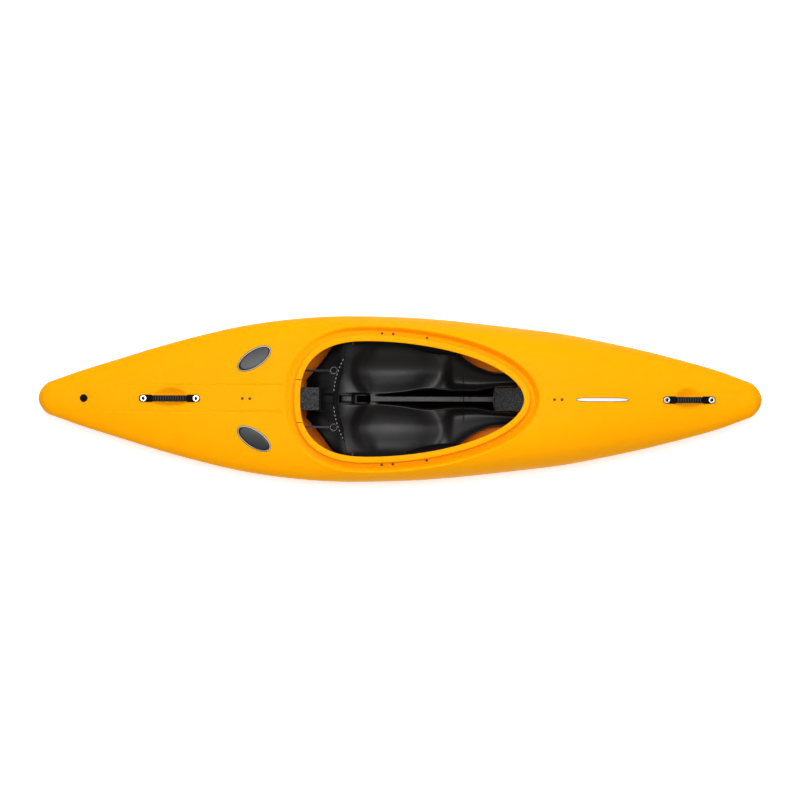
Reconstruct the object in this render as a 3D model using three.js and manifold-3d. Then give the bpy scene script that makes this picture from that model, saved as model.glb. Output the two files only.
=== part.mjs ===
// Whitewater kayak: a rotomoulded hull with its seat, backband, pillars, thigh braces, footrests and small
// fittings.
// Millimetres. +X is the bow, +Y is port (left), +Z is up. The origin is under the middle of the hull.
import * as THREE from "three";
import { mergeVertices } from "three/addons/utils/BufferGeometryUtils.js";
import Module from "manifold-3d";

const wasm = await Module();
wasm.setup();

// Hull
const HULL_LENGTH = 2720;
const BOW = HULL_LENGTH / 2; // the bow's end, and the stern's is as far behind the origin
const HULL_BEAM = 624;
const HULL_WALL = 6;
const NOSE_LENGTH = 46; // how far each tip rounds off, seen from above
const SHEER_HEIGHT = 160; // height of the widest line, midships
const BOW_SHEER_HEIGHT = 188;
const STERN_SHEER_HEIGHT = 146;
const BOW_ROCKER_START = 330; // the bottom is flat between these two places
const STERN_ROCKER_START = -460;
const BOW_ROCKER = 132;
const STERN_ROCKER = 92;
const ROCKER_POWER = 2.1;
const BOTTOM_FLAT_SHARE = 0.48; // of the half beam
const BILGE_POWER = 2.4;
const DECK_HEIGHT = 330; // highest point of the deck, ahead of the cockpit
const DECK_END_POWER = 2.2; // how boxy the deck's cross section is at the tips
const DECK_MIDDLE_POWER = 6; // and beside the cockpit
const DECK_BLEND_POWER = 4;
// Half beam, as pairs: share of the length from the stern, share of the widest half beam.
const BEAM_SHARES = [
  [0, 0.155],
  [0.03, 0.243],
  [0.058, 0.33],
  [0.113, 0.48],
  [0.169, 0.63],
  [0.224, 0.76],
  [0.279, 0.87],
  [0.335, 0.945],
  [0.39, 0.988],
  [0.43, 1],
  [0.5, 0.988],
  [0.556, 0.958],
  [0.611, 0.91],
  [0.667, 0.855],
  [0.722, 0.795],
  [0.777, 0.705],
  [0.833, 0.6],
  [0.888, 0.48],
  [0.943, 0.343],
  [0.971, 0.253],
  [1, 0.16],
];
// Centre line of the deck, as pairs: share of the length from the stern, share of the deck height.
const DECK_SHARES = [
  [0, 0.545],
  [0.08, 0.6],
  [0.18, 0.665],
  [0.28, 0.71],
  [0.36, 0.735],
  [0.45, 0.93],
  [0.56, 1],
  [0.68, 1],
  [0.76, 0.955],
  [0.85, 0.85],
  [0.93, 0.745],
  [1, 0.68],
];
// Where the skin's rings are: over the deck from the moat to the sheer, and from there down to the flat
// bottom.
const DECK_RING_SHARES = [0.15, 0.33, 0.51, 0.68, 0.82, 0.92, 0.98];
const INNER_DECK_RING_SHARES = [0.24, 0.5, 0.73, 0.89, 0.97];
const BILGE_RING_SHARES = [0.13, 0.28, 0.43, 0.58, 0.76, 1];
const INNER_BILGE_RING_SHARES = [0.18, 0.4, 0.65, 1];

// Cockpit and its coaming
const COCKPIT_REAR = -375; // rear end of the opening
const COCKPIT_LENGTH = 840;
const COCKPIT_FRONT = COCKPIT_REAR + COCKPIT_LENGTH;
const COCKPIT_WIDTH = 434;
const WIDEST_SHARE = 0.305; // where the opening is widest, from its rear end
const COCKPIT_REAR_POWER = 2.5;
const COCKPIT_FRONT_POWER = 1.9;
const REAR_LEDGE_HEIGHT = 232; // the ledge round the coaming, which rises towards the front
const FRONT_LEDGE_HEIGHT = 302;
const LEDGE_POWER = 1.3;
const COAMING_HEIGHT = 30; // top of the lip over the ledge
const LIP_WIDTH = 23;
const LIP_THICKNESS = 9;
const LIP_ROUNDING = 3;
const MOAT_FLOOR_WIDTH = 38; // the ledge ends and the moat wall starts this far outside the opening
const MOAT_WIDTH = 62;
// Where the moat wall's rings are, from its outer edge in.
const MOAT_RING_SHARES = [0, 0.275, 0.5, 1];
const INNER_MOAT_RING_SHARES = [1, 0.5, 0];

// Stern deck lines
const DECK_LINE_OFFSET = 50;
const DECK_LINE_FRONT_DEPTH = 3.3; // the lines fade towards the stern
const DECK_LINE_REAR_DEPTH = 1.6;
const DECK_LINE_WIDTH = 8.8;
const DECK_LINE_GAP = 71; // between the opening and a line's front end
const DECK_LINE_INSET = 210; // its rear end, from the stern

// Fits
const SEAT_GAP = 0.4; // between pieces that touch
const PILLAR_GAP = 3; // between a foam pillar and the shell
const CUT_OVERRUN = 30;

// Small screws with a domed head, set in a shallow spot face
const SCREW_HEAD_RADIUS = 5.5;
const SCREW_HEAD_HEIGHT = 3.2;
const SCREW_RADIUS = 2.5;
const SCREW_LENGTH = 20;
const SCREW_CLEARANCE = 0.5;
const SCREW_CROWN_SHARE = 0.7; // how wide a head's flat top is
const SPOT_FACE_DEPTH = 1.4;
const LEDGE_SCREW_OFFSET = 31; // outside the opening
const SEAT_SCREW_PLACES = { rear: -69, front: -28 };
const BRACE_SCREW_PLACE = 96;
const PILLAR_SCREW_SPACING = 28; // between the two screws of a pillar
const BOW_PILLAR_SCREW_GAP = 128; // from the opening to the middle of the front pillar's pair
const STERN_PILLAR_SCREW_SHARE = 0.5413; // of the way from the opening to the rear pillar's end

// Handles at both ends: a strap with a ribbed grip over a finger well
const HANDLE_WIDTH = 28;
const HANDLE_NECK_WIDTH = 15; // inside the grip
const HANDLE_SHOULDER_LENGTH = 8; // over which the strap widens again
const STRAP_THICKNESS = 3.4;
const STRAP_END_ROUNDNESS = 0.72;
const HANDLE_ARCH = 15; // how far the strap stands over the deck in its middle
const HANDLE_ARCH_POWER = 1.5;
const GRIP_WIDTH = 25;
const GRIP_HEIGHT = 15;
const GRIP_RIB_DEPTH = 1.2;
const GRIP_RIB_PITCH = 7.7;
const WASHER_RADIUS = 11.5;
const WASHER_THICKNESS = 1.8;
const HANDLE_SCREW_HEAD_RADIUS = 6.5;
const HANDLE_SCREW_RADIUS = 3;
const HANDLE_SCREW_LENGTH = 26;
const BOW_HANDLE_INSET = 274; // its middle, from the bow
const STERN_HANDLE_INSET = 494;
const BOW_WELL_SHIFT = -4; // its middle, from the handle's
const STERN_WELL_SHIFT = 3;
const BOW_HANDLE = { centre: BOW - BOW_HANDLE_INSET, length: 196, screwSpacing: 169, gripLength: 92 };
const STERN_HANDLE = { centre: STERN_HANDLE_INSET - BOW, length: 228, screwSpacing: 198, gripLength: 122 };
const BOW_WELL = { centre: BOW_HANDLE.centre + BOW_WELL_SHIFT, halfLength: 48, halfWidth: 43, depth: 26 };
const STERN_WELL = {
  centre: STERN_HANDLE.centre + STERN_WELL_SHIFT,
  halfLength: 60,
  halfWidth: 41,
  depth: 28,
};

// Drain in the stern deck
const DRAIN_INSET = 171; // from the stern
const DRAIN_PLACE = DRAIN_INSET - BOW;
const DRAIN_DISH_RADIUS = 37;
const DRAIN_DISH_DEPTH = 2.6;
const DRAIN_FLANGE_RADIUS = 14.5;
const DRAIN_FLANGE_THICKNESS = 2;
const DRAIN_SLEEVE_RADIUS = 11;
const DRAIN_BORE_RADIUS = 8.4;
const DRAIN_DEPTH = 15;
const PLUG_HEAD_RADIUS = 12;
const PLUG_HEAD_HEIGHT = 3.4;
const PLUG_GRIP_WIDTH = 4.5;
const PLUG_GRIP_HEIGHT = 5;
const PLUG_GRIP_LENGTH = 18;
const PLUG_CLEARANCE = 0.5;
const PLUG_CHAMFER = 1;

// Seat
const SEAT_REAR = -352;
const SEAT_LENGTH = 792;
const SEAT_HALF_WIDTH = 225;
const SEAT_WALL = 5;
const SEAT_RISE = 100; // scale of the heights of the seat's surface
const SEAT_FLANGE_WIDTH = 27;
const SEAT_FLANGE_END = { rear: -112, front: 12 };
const SPINE_HALF_WIDTH = 10;
const SPINE_DRAFT = 3;
const GROOVE_HALF_WIDTH = 41;
const GROOVE_FLOOR_HEIGHT = 16;
const RIDGE_DRAFT = 15;
const BOWL_CENTRE = 108;
const CHANNEL_CENTRE = 60;
const SEAT_FLANGE_RUN = 15; // over which the flange grows at either end
// The surface from a ridge down to its low line, as pairs: share of the way across, share of the fall.
const SEAT_FALL_SHARES = [
  [0, 0],
  [0.5, 0.75],
  [1, 1],
];
// And from the low line out to the rim, as pairs: share of the way across, running share of the height, which
// is 0 at the low line, 1 at the shoulder and 2 at the rim.
const SEAT_CLIMB_SHARES = [
  [0.45, 0.45],
  [0.8, 1],
  [0.97, 1.55],
  [1, 2],
];
// Each table pairs a share of the seat's length, from its rear end, with a share of the size that it
// follows.
const SEAT_EDGE_SHARES = [
  [0, 0.285],
  [0.066, 0.56],
  [0.153, 0.92],
  [0.256, 0.985],
  [0.333, 1],
  [0.444, 1],
  [0.52, 0.95],
  [0.604, 0.91],
  [0.678, 0.85],
  [0.708, 0.79],
  [0.746, 0.67],
  [0.823, 0.51],
  [0.879, 0.444],
  [0.96, 0.41],
  [1, 0.39],
];
// Height of the seat's edge, as a share of the height of the ledge's underside.
const SEAT_RIM_SHARES = [
  [0, 0.32],
  [0.066, 0.44],
  [0.153, 0.62],
  [0.22, 0.86],
  [0.27, 1],
  [0.46, 1],
  [0.53, 0.68],
  [0.604, 0.6],
  [0.678, 0.52],
  [0.746, 0.4],
  [0.823, 0.28],
  [0.879, 0.22],
  [1, 0.17],
];
const RIDGE_PLACE_SHARES = [
  [0, 0.5],
  [0.3, 0.5],
  [0.36, 0.52],
  [0.444, 0.66],
  [0.547, 0.95],
  [0.604, 1],
  [0.641, 0.95],
  [0.7, 0.84],
  [0.8, 0.84],
  [0.88, 1.13],
  [0.96, 1.28],
  [1, 1.3],
];
const RIDGE_HEIGHT_SHARES = [
  [0, 0.66],
  [0.066, 0.9],
  [0.153, 1],
  [0.2, 0.96],
  [0.25, 0.68],
  [0.31, 0.62],
  [0.444, 0.6],
  [0.547, 0.66],
  [0.62, 0.72],
  [0.68, 0.6],
  [0.75, 0.54],
  [0.88, 0.5],
  [1, 0.42],
];
const SPINE_HEIGHT_SHARES = [
  [0, 0.64],
  [0.066, 0.88],
  [0.155, 1],
  [0.165, 1.14],
  [0.215, 1.14],
  [0.228, 0.5],
  [0.285, 0.48],
  [0.305, 0.64],
  [0.36, 0.62],
  [0.85, 0.6],
  [1, 0.5],
];
const GROOVE_DEPTH_SHARES = [
  [0, 0],
  [0.33, 0],
  [0.37, 0.8],
  [0.4, 1],
  [1, 1],
];
const BOWL_HEIGHT_SHARES = [
  [0, 0.6],
  [0.066, 0.86],
  [0.153, 0.96],
  [0.2, 0.9],
  [0.25, 0.5],
  [0.31, 0.36],
  [0.444, 0.32],
  [0.547, 0.4],
  [0.604, 0.58],
  [0.64, 0.68],
  [0.66, 0.52],
  [0.69, 0.2],
  [0.746, 0.17],
  [1, 0.19],
];
const SHOULDER_HEIGHT_SHARES = [
  [0, 0.62],
  [0.066, 0.92],
  [0.153, 1.16],
  [0.25, 1],
  [0.35, 0.8],
  [0.547, 0.86],
  [0.64, 0.98],
  [0.7, 0.7],
  [0.8, 0.44],
  [0.88, 0.34],
  [1, 0.27],
];
// 1 where the low line of the surface is the middle of a bowl, 0 where it is a leg channel.
const BOWL_OR_CHANNEL_SHARES = [
  [0, 0.45],
  [0.1, 0.8],
  [0.2, 1],
  [0.62, 1],
  [0.7, 0.12],
  [0.8, 0],
  [1, 0.14],
];
const SEAT_STATION_SHARES = [
  0, 0.04, 0.08, 0.12, 0.153, 0.165, 0.215, 0.229, 0.26, 0.3, 0.335, 0.37, 0.41, 0.46, 0.51, 0.56, 0.605,
  0.638, 0.662, 0.69, 0.73, 0.78, 0.83, 0.88, 0.94, 1,
];

// Foam pillars
const PILLAR_WIDTH = 86;
const FRONT_PILLAR_OVERLAP = 108; // how far it reaches back inside the cockpit's opening
const FRONT_PILLAR_REAR = COCKPIT_FRONT - FRONT_PILLAR_OVERLAP;
const FRONT_PILLAR_GAP = 101.5; // ahead of it, to the bow handle's nearer screw
const FRONT_PILLAR_FRONT = BOW_HANDLE.centre - BOW_HANDLE.screwSpacing / 2 - FRONT_PILLAR_GAP;
const FRONT_PILLAR_LOW_HEIGHT = 168;
const FRONT_PILLAR_TOP_GAP = 5; // between the opening and the top's full height
const REAR_PILLAR_FRONT = -304;
const REAR_PILLAR_GAP = 17; // behind it, to the stern handle's nearer screw
const REAR_PILLAR_REAR = STERN_HANDLE.centre + STERN_HANDLE.screwSpacing / 2 + REAR_PILLAR_GAP;
const REAR_PILLAR_HEIGHT = 214;
const REAR_PILLAR_SOLE = 118; // the rear pillar's front end starts over the seat's rear shelf

// Bracket on the rear pillar, behind the backband
const BRACKET_WIDTH = 98;
const BRACKET_WALL = 7;
const BRACKET_HEIGHT = 46;
const BRACKET_LENGTH = 30;
const BRACKET_BOTTOM = 152;

// Backband
const ANCHOR_PLACE = -178;
const ANCHOR_HEIGHT = 172;
const BAND_CENTRE = -252; // rear face, on the centre line
const BAND_RADIUS = 325;
const BAND_HALF_ANGLE = 0.52;
const BAND_HEIGHT = 112;
const BAND_END_HEIGHT = 62;
const BAND_TAPER_POWER = 4;
const BAND_BOTTOM = 122;
const BAND_THICKNESS = 4;
const BAND_PAD_THICKNESS = 17;
const PAD_EDGE_THICKNESS = 5;
const PAD_INSET_SHARE = 0.955;
const PAD_CHANNEL_SHARE = 0.42;
const PAD_CHANNEL_WIDTH_SHARE = 0.08;
const PAD_CHANNEL_DEPTH_SHARE = 0.5;
const PAD_END_POWER = 6; // how square the pad's crown is, along and up
const PAD_EDGE_POWER = 3;
const WEBBING_WIDTH = 25;
const WEBBING_THICKNESS = 2.6;
const ANCHOR_SCREW_HEAD_RADIUS = 6.5;
const ANCHOR_CLEARANCE = 5; // between the strap and the seat's sloping side wall
const RING_RADIUS = 12.5;
const RING_WIRE_RADIUS = 1.8;
const RING_OFFSET = 107;
const RING_HEIGHT = 196;
const REAR_STRAP_WIDTH = 20;
const REAR_STRAP_THICKNESS = 2.6;
const REAR_STRAP_BEND = -410;
const REAR_STRAP_END = -540;

// Thigh braces
const BRACE_REAR = 26;
const BRACE_LENGTH = 186;
const BRACE_WALL = 5;
const BRACE_FLANGE_INSET = 8; // from the opening's edge outwards
const BRACE_FLANGE_WIDTH = 29;
const BRACE_DROP = 58;
const BRACE_REACH = 24; // how far the hook stands inside the opening's edge
const BRACE_END_DROP_SHARE = 0.55;
const BRACE_END_SHARE = 0.14; // how much of the swell is left out at either end
// The hook's section from its free edge up, as pairs: share of the reach inwards, share of the drop.
const BRACE_HOOK_SHARES = [
  [0.7, 1],
  [1, 0.72],
  [0.85, 0.4],
  [0.35, 0.12],
];

// Foot rails, pedals and their lock levers
const RAIL_REAR = 560;
const RAIL_LENGTH = 370;
const RAIL_HEIGHT = 28;
const RAIL_THICKNESS = 9;
const RAIL_STANDOFF = 20;
const RAIL_CENTRE_HEIGHT = 138;
const RAIL_BOLT_INSET = 26;
const RAIL_BOSS_RADIUS = 8;
const RAIL_BOSS_GAP = 4.2;
const BOLT_RADIUS = 3;
const BOLT_HEAD_RADIUS = 8;
const BOLT_HEAD_HEIGHT = 3;
const BOLT_RECESS_DEPTH = 3.2;
const CARRIAGE_LENGTH = 54;
const CARRIAGE_WALL = 6;
const CARRIAGE_LIP = 4;
const CARRIAGE_CLEARANCE = 0.6;
const PEDAL_WIDTH = 74;
const PEDAL_HEIGHT = 112;
const PEDAL_THICKNESS = 6;
const PEDAL_RIB_COUNT = 5;
const PEDAL_RIB_DEPTH = 4;
const PEDAL_RIB_THICKNESS = 5;
const PEDAL_CHEEK_THICKNESS = 3; // holds the lever against the carriage
const LEVER_LENGTH = 46;
const LEVER_WIDTH = 12;
const LEVER_THICKNESS = 5;
const LEVER_BARREL_RADIUS = 5;
const LEVER_CLEARANCE = 0.6;

// Facet counts
const RING_STEPS = 60;
const SCREW_STEPS = 8;
const ROUND_STEPS = 16;
const SEAT_SURFACE_STEPS = 7;
const PILLAR_STEPS = 10;
const STRAP_GRIP_SHARES = [0.25, 0.5, 0.75, 1];
const STRAP_END_SHARES = [0, 0.5, 0.85, 1];
const GRIP_STEPS = 10;
const WELL_LAYERS = 5;
const DECK_LINE_STEPS = 14;
const DISH_STEPS = 8;
const BAND_COLUMNS = 14;
const BAND_ROWS = 4;
const PAD_COLUMNS = 24;
const PAD_ROWS = 8;
const WIRE_STEPS = 5;
const STRAP_RING_STEPS = 14;
const BRACE_STEPS = 9;
const WALL_PASSES = 6; // by which the wall's place beside a rail has settled
const POINT_TOLERANCE = 1e-3; // points nearer than this are one

const MATERIALS = {
  shell: { color: 0xffab0a, roughness: 0.42, metalness: 0 },
  seat: { color: 0x131415, roughness: 0.24, metalness: 0 },
  foam: { color: 0x6b6e72, roughness: 0.95, metalness: 0 },
  webbing: { color: 0x17181a, roughness: 0.85, metalness: 0 },
  strap: { color: 0x5f6a74, roughness: 0.85, metalness: 0 },
  fabric: { color: 0x18191b, roughness: 0.9, metalness: 0 },
  rubber: { color: 0x161616, roughness: 0.7, metalness: 0 },
  black: { color: 0x1c1d1f, roughness: 0.5, metalness: 0 },
  steel: { color: 0xc9ccd0, roughness: 0.3, metalness: 1 },
  aluminium: { color: 0xb4b8bd, roughness: 0.4, metalness: 1 },
};

const { lerp, clamp, smoothstep } = THREE.MathUtils;
const SIDES = { left: 1, right: -1 };

// A smooth curve through pairs of places and values, which never overshoots them.
function curveThrough(pairs) {
  const slopes = pairs.slice(1).map(([at, value], i) => (value - pairs[i][1]) / (at - pairs[i][0]));
  const tangents = pairs.map((pair, i) => {
    const before = slopes[i - 1] ?? slopes[i];
    const after = slopes[i] ?? slopes[i - 1];
    return before * after <= 0 ? 0 : (2 * before * after) / (before + after);
  });
  return (at) => {
    const place = clamp(at, pairs[0][0], pairs[pairs.length - 1][0]);
    const i = Math.max(0, pairs.findIndex(([next]) => next >= place) - 1);
    const span = pairs[i + 1][0] - pairs[i][0];
    const t = (place - pairs[i][0]) / span;
    const rise = pairs[i + 1][1] - pairs[i][1];
    const start = tangents[i] * span;
    const end = tangents[i + 1] * span;
    const bend = 3 * rise - 2 * start - end;
    return pairs[i][1] + t * start + t * t * bend + t * t * t * (start + end - 2 * rise);
  };
}

const beamShare = curveThrough(BEAM_SHARES);
const deckShare = curveThrough(DECK_SHARES);

// Solids

function solidOf(geometry) {
  const bare = new THREE.BufferGeometry();
  bare.setAttribute("position", geometry.getAttribute("position").clone());
  bare.setIndex(geometry.index);
  const merged = mergeVertices(bare, POINT_TOLERANCE);
  const corners = [...merged.index.array];
  const kept = [];
  for (let i = 0; i < corners.length; i += 3) {
    const [a, b, c] = corners.slice(i, i + 3);
    if (a !== b && b !== c && c !== a) kept.push(a, b, c);
  }
  return new wasm.Manifold(
    new wasm.Mesh({
      numProp: 3,
      vertProperties: merged.getAttribute("position").array,
      triVerts: new Uint32Array(kept),
    }),
  );
}

function geometryOf(solid) {
  const { numProp, numVert, vertProperties, triVerts } = solid.getMesh();
  const positions = new Float32Array(numVert * 3);
  for (let i = 0; i < numVert; i++) {
    positions.set(vertProperties.subarray(i * numProp, i * numProp + 3), i * 3);
  }
  const geometry = new THREE.BufferGeometry();
  geometry.setAttribute("position", new THREE.BufferAttribute(positions, 3));
  geometry.setIndex(new THREE.BufferAttribute(triVerts, 1));
  return geometry;
}

function cut(geometry, tools) {
  return geometryOf(tools.reduce((solid, tool) => solid.subtract(solidOf(tool)), solidOf(geometry)));
}

function join(geometry, pieces) {
  return geometryOf(pieces.reduce((solid, piece) => solid.add(solidOf(piece)), solidOf(geometry)));
}

// Turns every face outwards if the mesh came out inside out.
function facingOut(geometry) {
  const points = geometry.getAttribute("position");
  const index = geometry.index.array;
  const [a, b, c] = [new THREE.Vector3(), new THREE.Vector3(), new THREE.Vector3()];
  let volume = 0;
  for (let i = 0; i < index.length; i += 3) {
    a.fromBufferAttribute(points, index[i]);
    b.fromBufferAttribute(points, index[i + 1]);
    c.fromBufferAttribute(points, index[i + 2]);
    volume += a.dot(b.cross(c));
  }
  if (volume < 0) {
    for (let i = 0; i < index.length; i += 3) [index[i], index[i + 1]] = [index[i + 1], index[i]];
  }
  return geometry;
}

function meshFrom(points, faces) {
  const geometry = new THREE.BufferGeometry().setFromPoints(points);
  geometry.setIndex(faces.flatMap(([a, b, c, d]) => (d === undefined ? [a, b, c] : [a, b, c, a, c, d])));
  return facingOut(geometry);
}

// A closed skin over rings of equally many points. Both end rings are flattened onto a line or are capped.
function ringSkin(rings, capped = false) {
  const count = rings[0].length;
  const faces = [];
  for (let r = 0; r + 1 < rings.length; r++) {
    for (let i = 0; i < count; i++) {
      const next = (i + 1) % count;
      faces.push([r * count + i, r * count + next, (r + 1) * count + next, (r + 1) * count + i]);
    }
  }
  if (capped) {
    const last = (rings.length - 1) * count;
    for (let i = 1; i + 1 < count; i++) {
      faces.push([0, i + 1, i]);
      faces.push([last, last + i, last + i + 1]);
    }
  }
  return meshFrom(rings.flat(), faces);
}

// A closed plate over a grid of points: its face is the grid, its back lies a thickness behind it.
function plate(grid, thickness) {
  const rows = grid.length;
  const columns = grid[0].length;
  const at = (i, j) => grid[clamp(i, 0, rows - 1)][clamp(j, 0, columns - 1)];
  const backs = grid.map((row, i) =>
    row.map((point, j) => {
      const along = at(i + 1, j).clone().sub(at(i - 1, j));
      const across = at(i, j + 1).clone().sub(at(i, j - 1));
      const depth = typeof thickness === "function" ? thickness(i, j) : thickness;
      return point.clone().addScaledVector(along.cross(across).normalize(), -depth);
    }),
  );
  const points = [...grid.flat(), ...backs.flat()];
  const front = (i, j) => i * columns + j;
  const back = (i, j) => rows * columns + front(i, j);
  const faces = [];
  for (let i = 0; i + 1 < rows; i++) {
    for (let j = 0; j + 1 < columns; j++) {
      faces.push([front(i, j), front(i + 1, j), front(i + 1, j + 1), front(i, j + 1)]);
      faces.push([back(i, j), back(i, j + 1), back(i + 1, j + 1), back(i + 1, j)]);
    }
    faces.push([front(i, 0), back(i, 0), back(i + 1, 0), front(i + 1, 0)]);
    const j = columns - 1;
    faces.push([front(i, j), front(i + 1, j), back(i + 1, j), back(i, j)]);
  }
  for (let j = 0; j + 1 < columns; j++) {
    faces.push([front(0, j), front(0, j + 1), back(0, j + 1), back(0, j)]);
    const i = rows - 1;
    faces.push([front(i, j), back(i, j), back(i, j + 1), front(i, j + 1)]);
  }
  return meshFrom(points, faces);
}

// A round piece about +Z, from its outline as pairs of radius and height, bottom first.
function turned(outline, steps = ROUND_STEPS) {
  const points = outline.map(([radius, height]) => new THREE.Vector2(radius, height));
  return new THREE.LatheGeometry(points, steps).rotateX(Math.PI / 2);
}

function block(length, width, height, x, y, z) {
  return new THREE.BoxGeometry(length, width, height).translate(x, y, z);
}

// Puts geometry made about +Z onto a place, with +Z along a direction.
function placed(geometry, place, direction) {
  const up = new THREE.Vector3(0, 0, 1);
  const turn = new THREE.Quaternion().setFromUnitVectors(up, direction.clone().normalize());
  return geometry.applyMatrix4(new THREE.Matrix4().compose(place, turn, new THREE.Vector3(1, 1, 1)));
}

// Hull lines. `inset` is 0 for the outside and the wall for the inside.

function nose(x, inset) {
  const past = Math.abs(x) - (BOW - NOSE_LENGTH);
  return past <= 0 ? 1 : Math.sqrt(Math.max(0, 1 - (past / (NOSE_LENGTH - inset)) ** 2));
}

function lengthShare(x) {
  return (x + BOW) / HULL_LENGTH;
}

function halfBeam(x, inset) {
  return ((HULL_BEAM / 2) * beamShare(lengthShare(x)) - inset) * nose(x, inset);
}

// Half breadth of the hull at a height between the flat bottom and the sheer.
function halfBreadth(x, z, inset) {
  const beam = halfBeam(x, inset);
  const flat = beam * BOTTOM_FLAT_SHARE;
  const down = (sheerHeight(x) - z) / (sheerHeight(x) - keelHeight(x, inset));
  return flat + (beam - flat) * (1 - Math.max(0, down) ** BILGE_POWER) ** (1 / BILGE_POWER);
}

function sheerHeight(x) {
  const end = x > 0 ? BOW_SHEER_HEIGHT : STERN_SHEER_HEIGHT;
  return lerp(SHEER_HEIGHT, end, (x / BOW) ** 2);
}

function rocker(x) {
  const bow = Math.max(0, (x - BOW_ROCKER_START) / (BOW - BOW_ROCKER_START));
  const stern = Math.max(0, (STERN_ROCKER_START - x) / (BOW + STERN_ROCKER_START));
  return BOW_ROCKER * bow ** ROCKER_POWER + STERN_ROCKER * stern ** ROCKER_POWER;
}

function keelHeight(x, inset) {
  return lerp(sheerHeight(x), rocker(x) + inset, nose(x, inset));
}

function crownHeight(x, inset) {
  return lerp(sheerHeight(x), DECK_HEIGHT * deckShare(lengthShare(x)) - inset, nose(x, inset));
}

function deckHeight(x, y, inset) {
  const power = lerp(DECK_END_POWER, DECK_MIDDLE_POWER, (1 - (x / BOW) ** 2) ** DECK_BLEND_POWER);
  const across = Math.min(1, Math.abs(y) / Math.max(halfBeam(x, inset), Number.MIN_VALUE));
  return lerp(sheerHeight(x), crownHeight(x, inset), Math.sqrt(1 - across ** power));
}

function ledgeHeight(x) {
  const share = clamp((x - COCKPIT_REAR) / COCKPIT_LENGTH, 0, 1);
  return lerp(REAR_LEDGE_HEIGHT, FRONT_LEDGE_HEIGHT, share ** LEDGE_POWER);
}

// A point of the cockpit opening's edge at an angle, moved outwards in plan by `offset`.
function coamingPoint(angle, offset) {
  const forward = Math.cos(angle) > 0;
  const power = forward ? COCKPIT_FRONT_POWER : COCKPIT_REAR_POWER;
  const reach = COCKPIT_LENGTH * (forward ? 1 - WIDEST_SHARE : WIDEST_SHARE);
  const half = COCKPIT_WIDTH / 2;
  const along = Math.sign(Math.cos(angle)) * Math.abs(Math.cos(angle)) ** (2 / power);
  const across = Math.sign(Math.sin(angle)) * Math.abs(Math.sin(angle)) ** (2 / power);
  const outward = new THREE.Vector2(
    (Math.sign(along) * Math.abs(along) ** (power - 1)) / reach,
    (Math.sign(across) * Math.abs(across) ** (power - 1)) / half,
  ).normalize();
  const widest = COCKPIT_REAR + COCKPIT_LENGTH * WIDEST_SHARE;
  return new THREE.Vector2(widest + reach * along, half * across).addScaledVector(outward, offset);
}

// The port-side angle at which the opening's edge passes a place along the boat.
function coamingAngle(x) {
  const share = clamp((x - COCKPIT_REAR) / COCKPIT_LENGTH, 0, 1);
  const forward = share > WIDEST_SHARE;
  const power = forward ? COCKPIT_FRONT_POWER : COCKPIT_REAR_POWER;
  const past = forward ? (share - WIDEST_SHARE) / (1 - WIDEST_SHARE) : (WIDEST_SHARE - share) / WIDEST_SHARE;
  return Math.acos((forward ? 1 : -1) * past ** (power / 2));
}

function angles() {
  return Array.from({ length: RING_STEPS }, (_, i) => (i / RING_STEPS) * 2 * Math.PI);
}

// One ring of the hull's bottom: share 0 is the sheer, share 1 is the edge of the flat.
function bilgeRing(share, inset) {
  return angles().map((angle) => {
    const x = (BOW - inset) * Math.cos(angle);
    const beam = halfBeam(x, inset);
    const flat = beam * BOTTOM_FLAT_SHARE;
    const turn = (share * Math.PI) / 2;
    const y = flat + (beam - flat) * Math.max(0, Math.cos(turn)) ** (2 / BILGE_POWER);
    const z = lerp(sheerHeight(x), keelHeight(x, inset), Math.sin(turn) ** (2 / BILGE_POWER));
    return new THREE.Vector3(x, Math.sign(Math.sin(angle)) * y, z);
  });
}

// One ring of the flat bottom: share 1 is its edge, share 0 is the keel line.
function flatRing(share, inset) {
  return angles().map((angle) => {
    const x = (BOW - inset) * Math.cos(angle);
    const y = halfBeam(x, inset) * BOTTOM_FLAT_SHARE * share;
    return new THREE.Vector3(x, Math.sign(Math.sin(angle)) * y, keelHeight(x, inset));
  });
}

// One ring of the deck between the moat's edge (share 0) and the sheer (share 1).
function deckRing(share, inset) {
  return angles().map((angle) => {
    const inner = coamingPoint(angle, MOAT_WIDTH);
    const x = lerp(inner.x, (BOW - inset) * Math.cos(angle), share);
    const sheer = Math.sign(Math.sin(angle)) * halfBeam((BOW - inset) * Math.cos(angle), inset);
    const y = lerp(inner.y, sheer, share);
    return new THREE.Vector3(x, y, deckHeight(x, y, inset));
  });
}

// One ring of the moat, at an offset outside the opening.
function moatRing(offset, inset) {
  return angles().map((angle) => {
    const { x, y } = coamingPoint(angle, offset);
    const edge = coamingPoint(angle, 0);
    const blend = smoothstep(offset, MOAT_FLOOR_WIDTH, MOAT_WIDTH);
    const z = lerp(ledgeHeight(edge.x) - inset, deckHeight(x, y, inset), blend);
    return new THREE.Vector3(x, y, z);
  });
}

// One ring of the coaming: an offset outside the opening and a height over the ledge.
function coamingRing([offset, height]) {
  return angles().map((angle) => {
    const { x, y } = coamingPoint(angle, offset);
    return new THREE.Vector3(x, y, ledgeHeight(coamingPoint(angle, 0).x) + height);
  });
}

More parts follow.
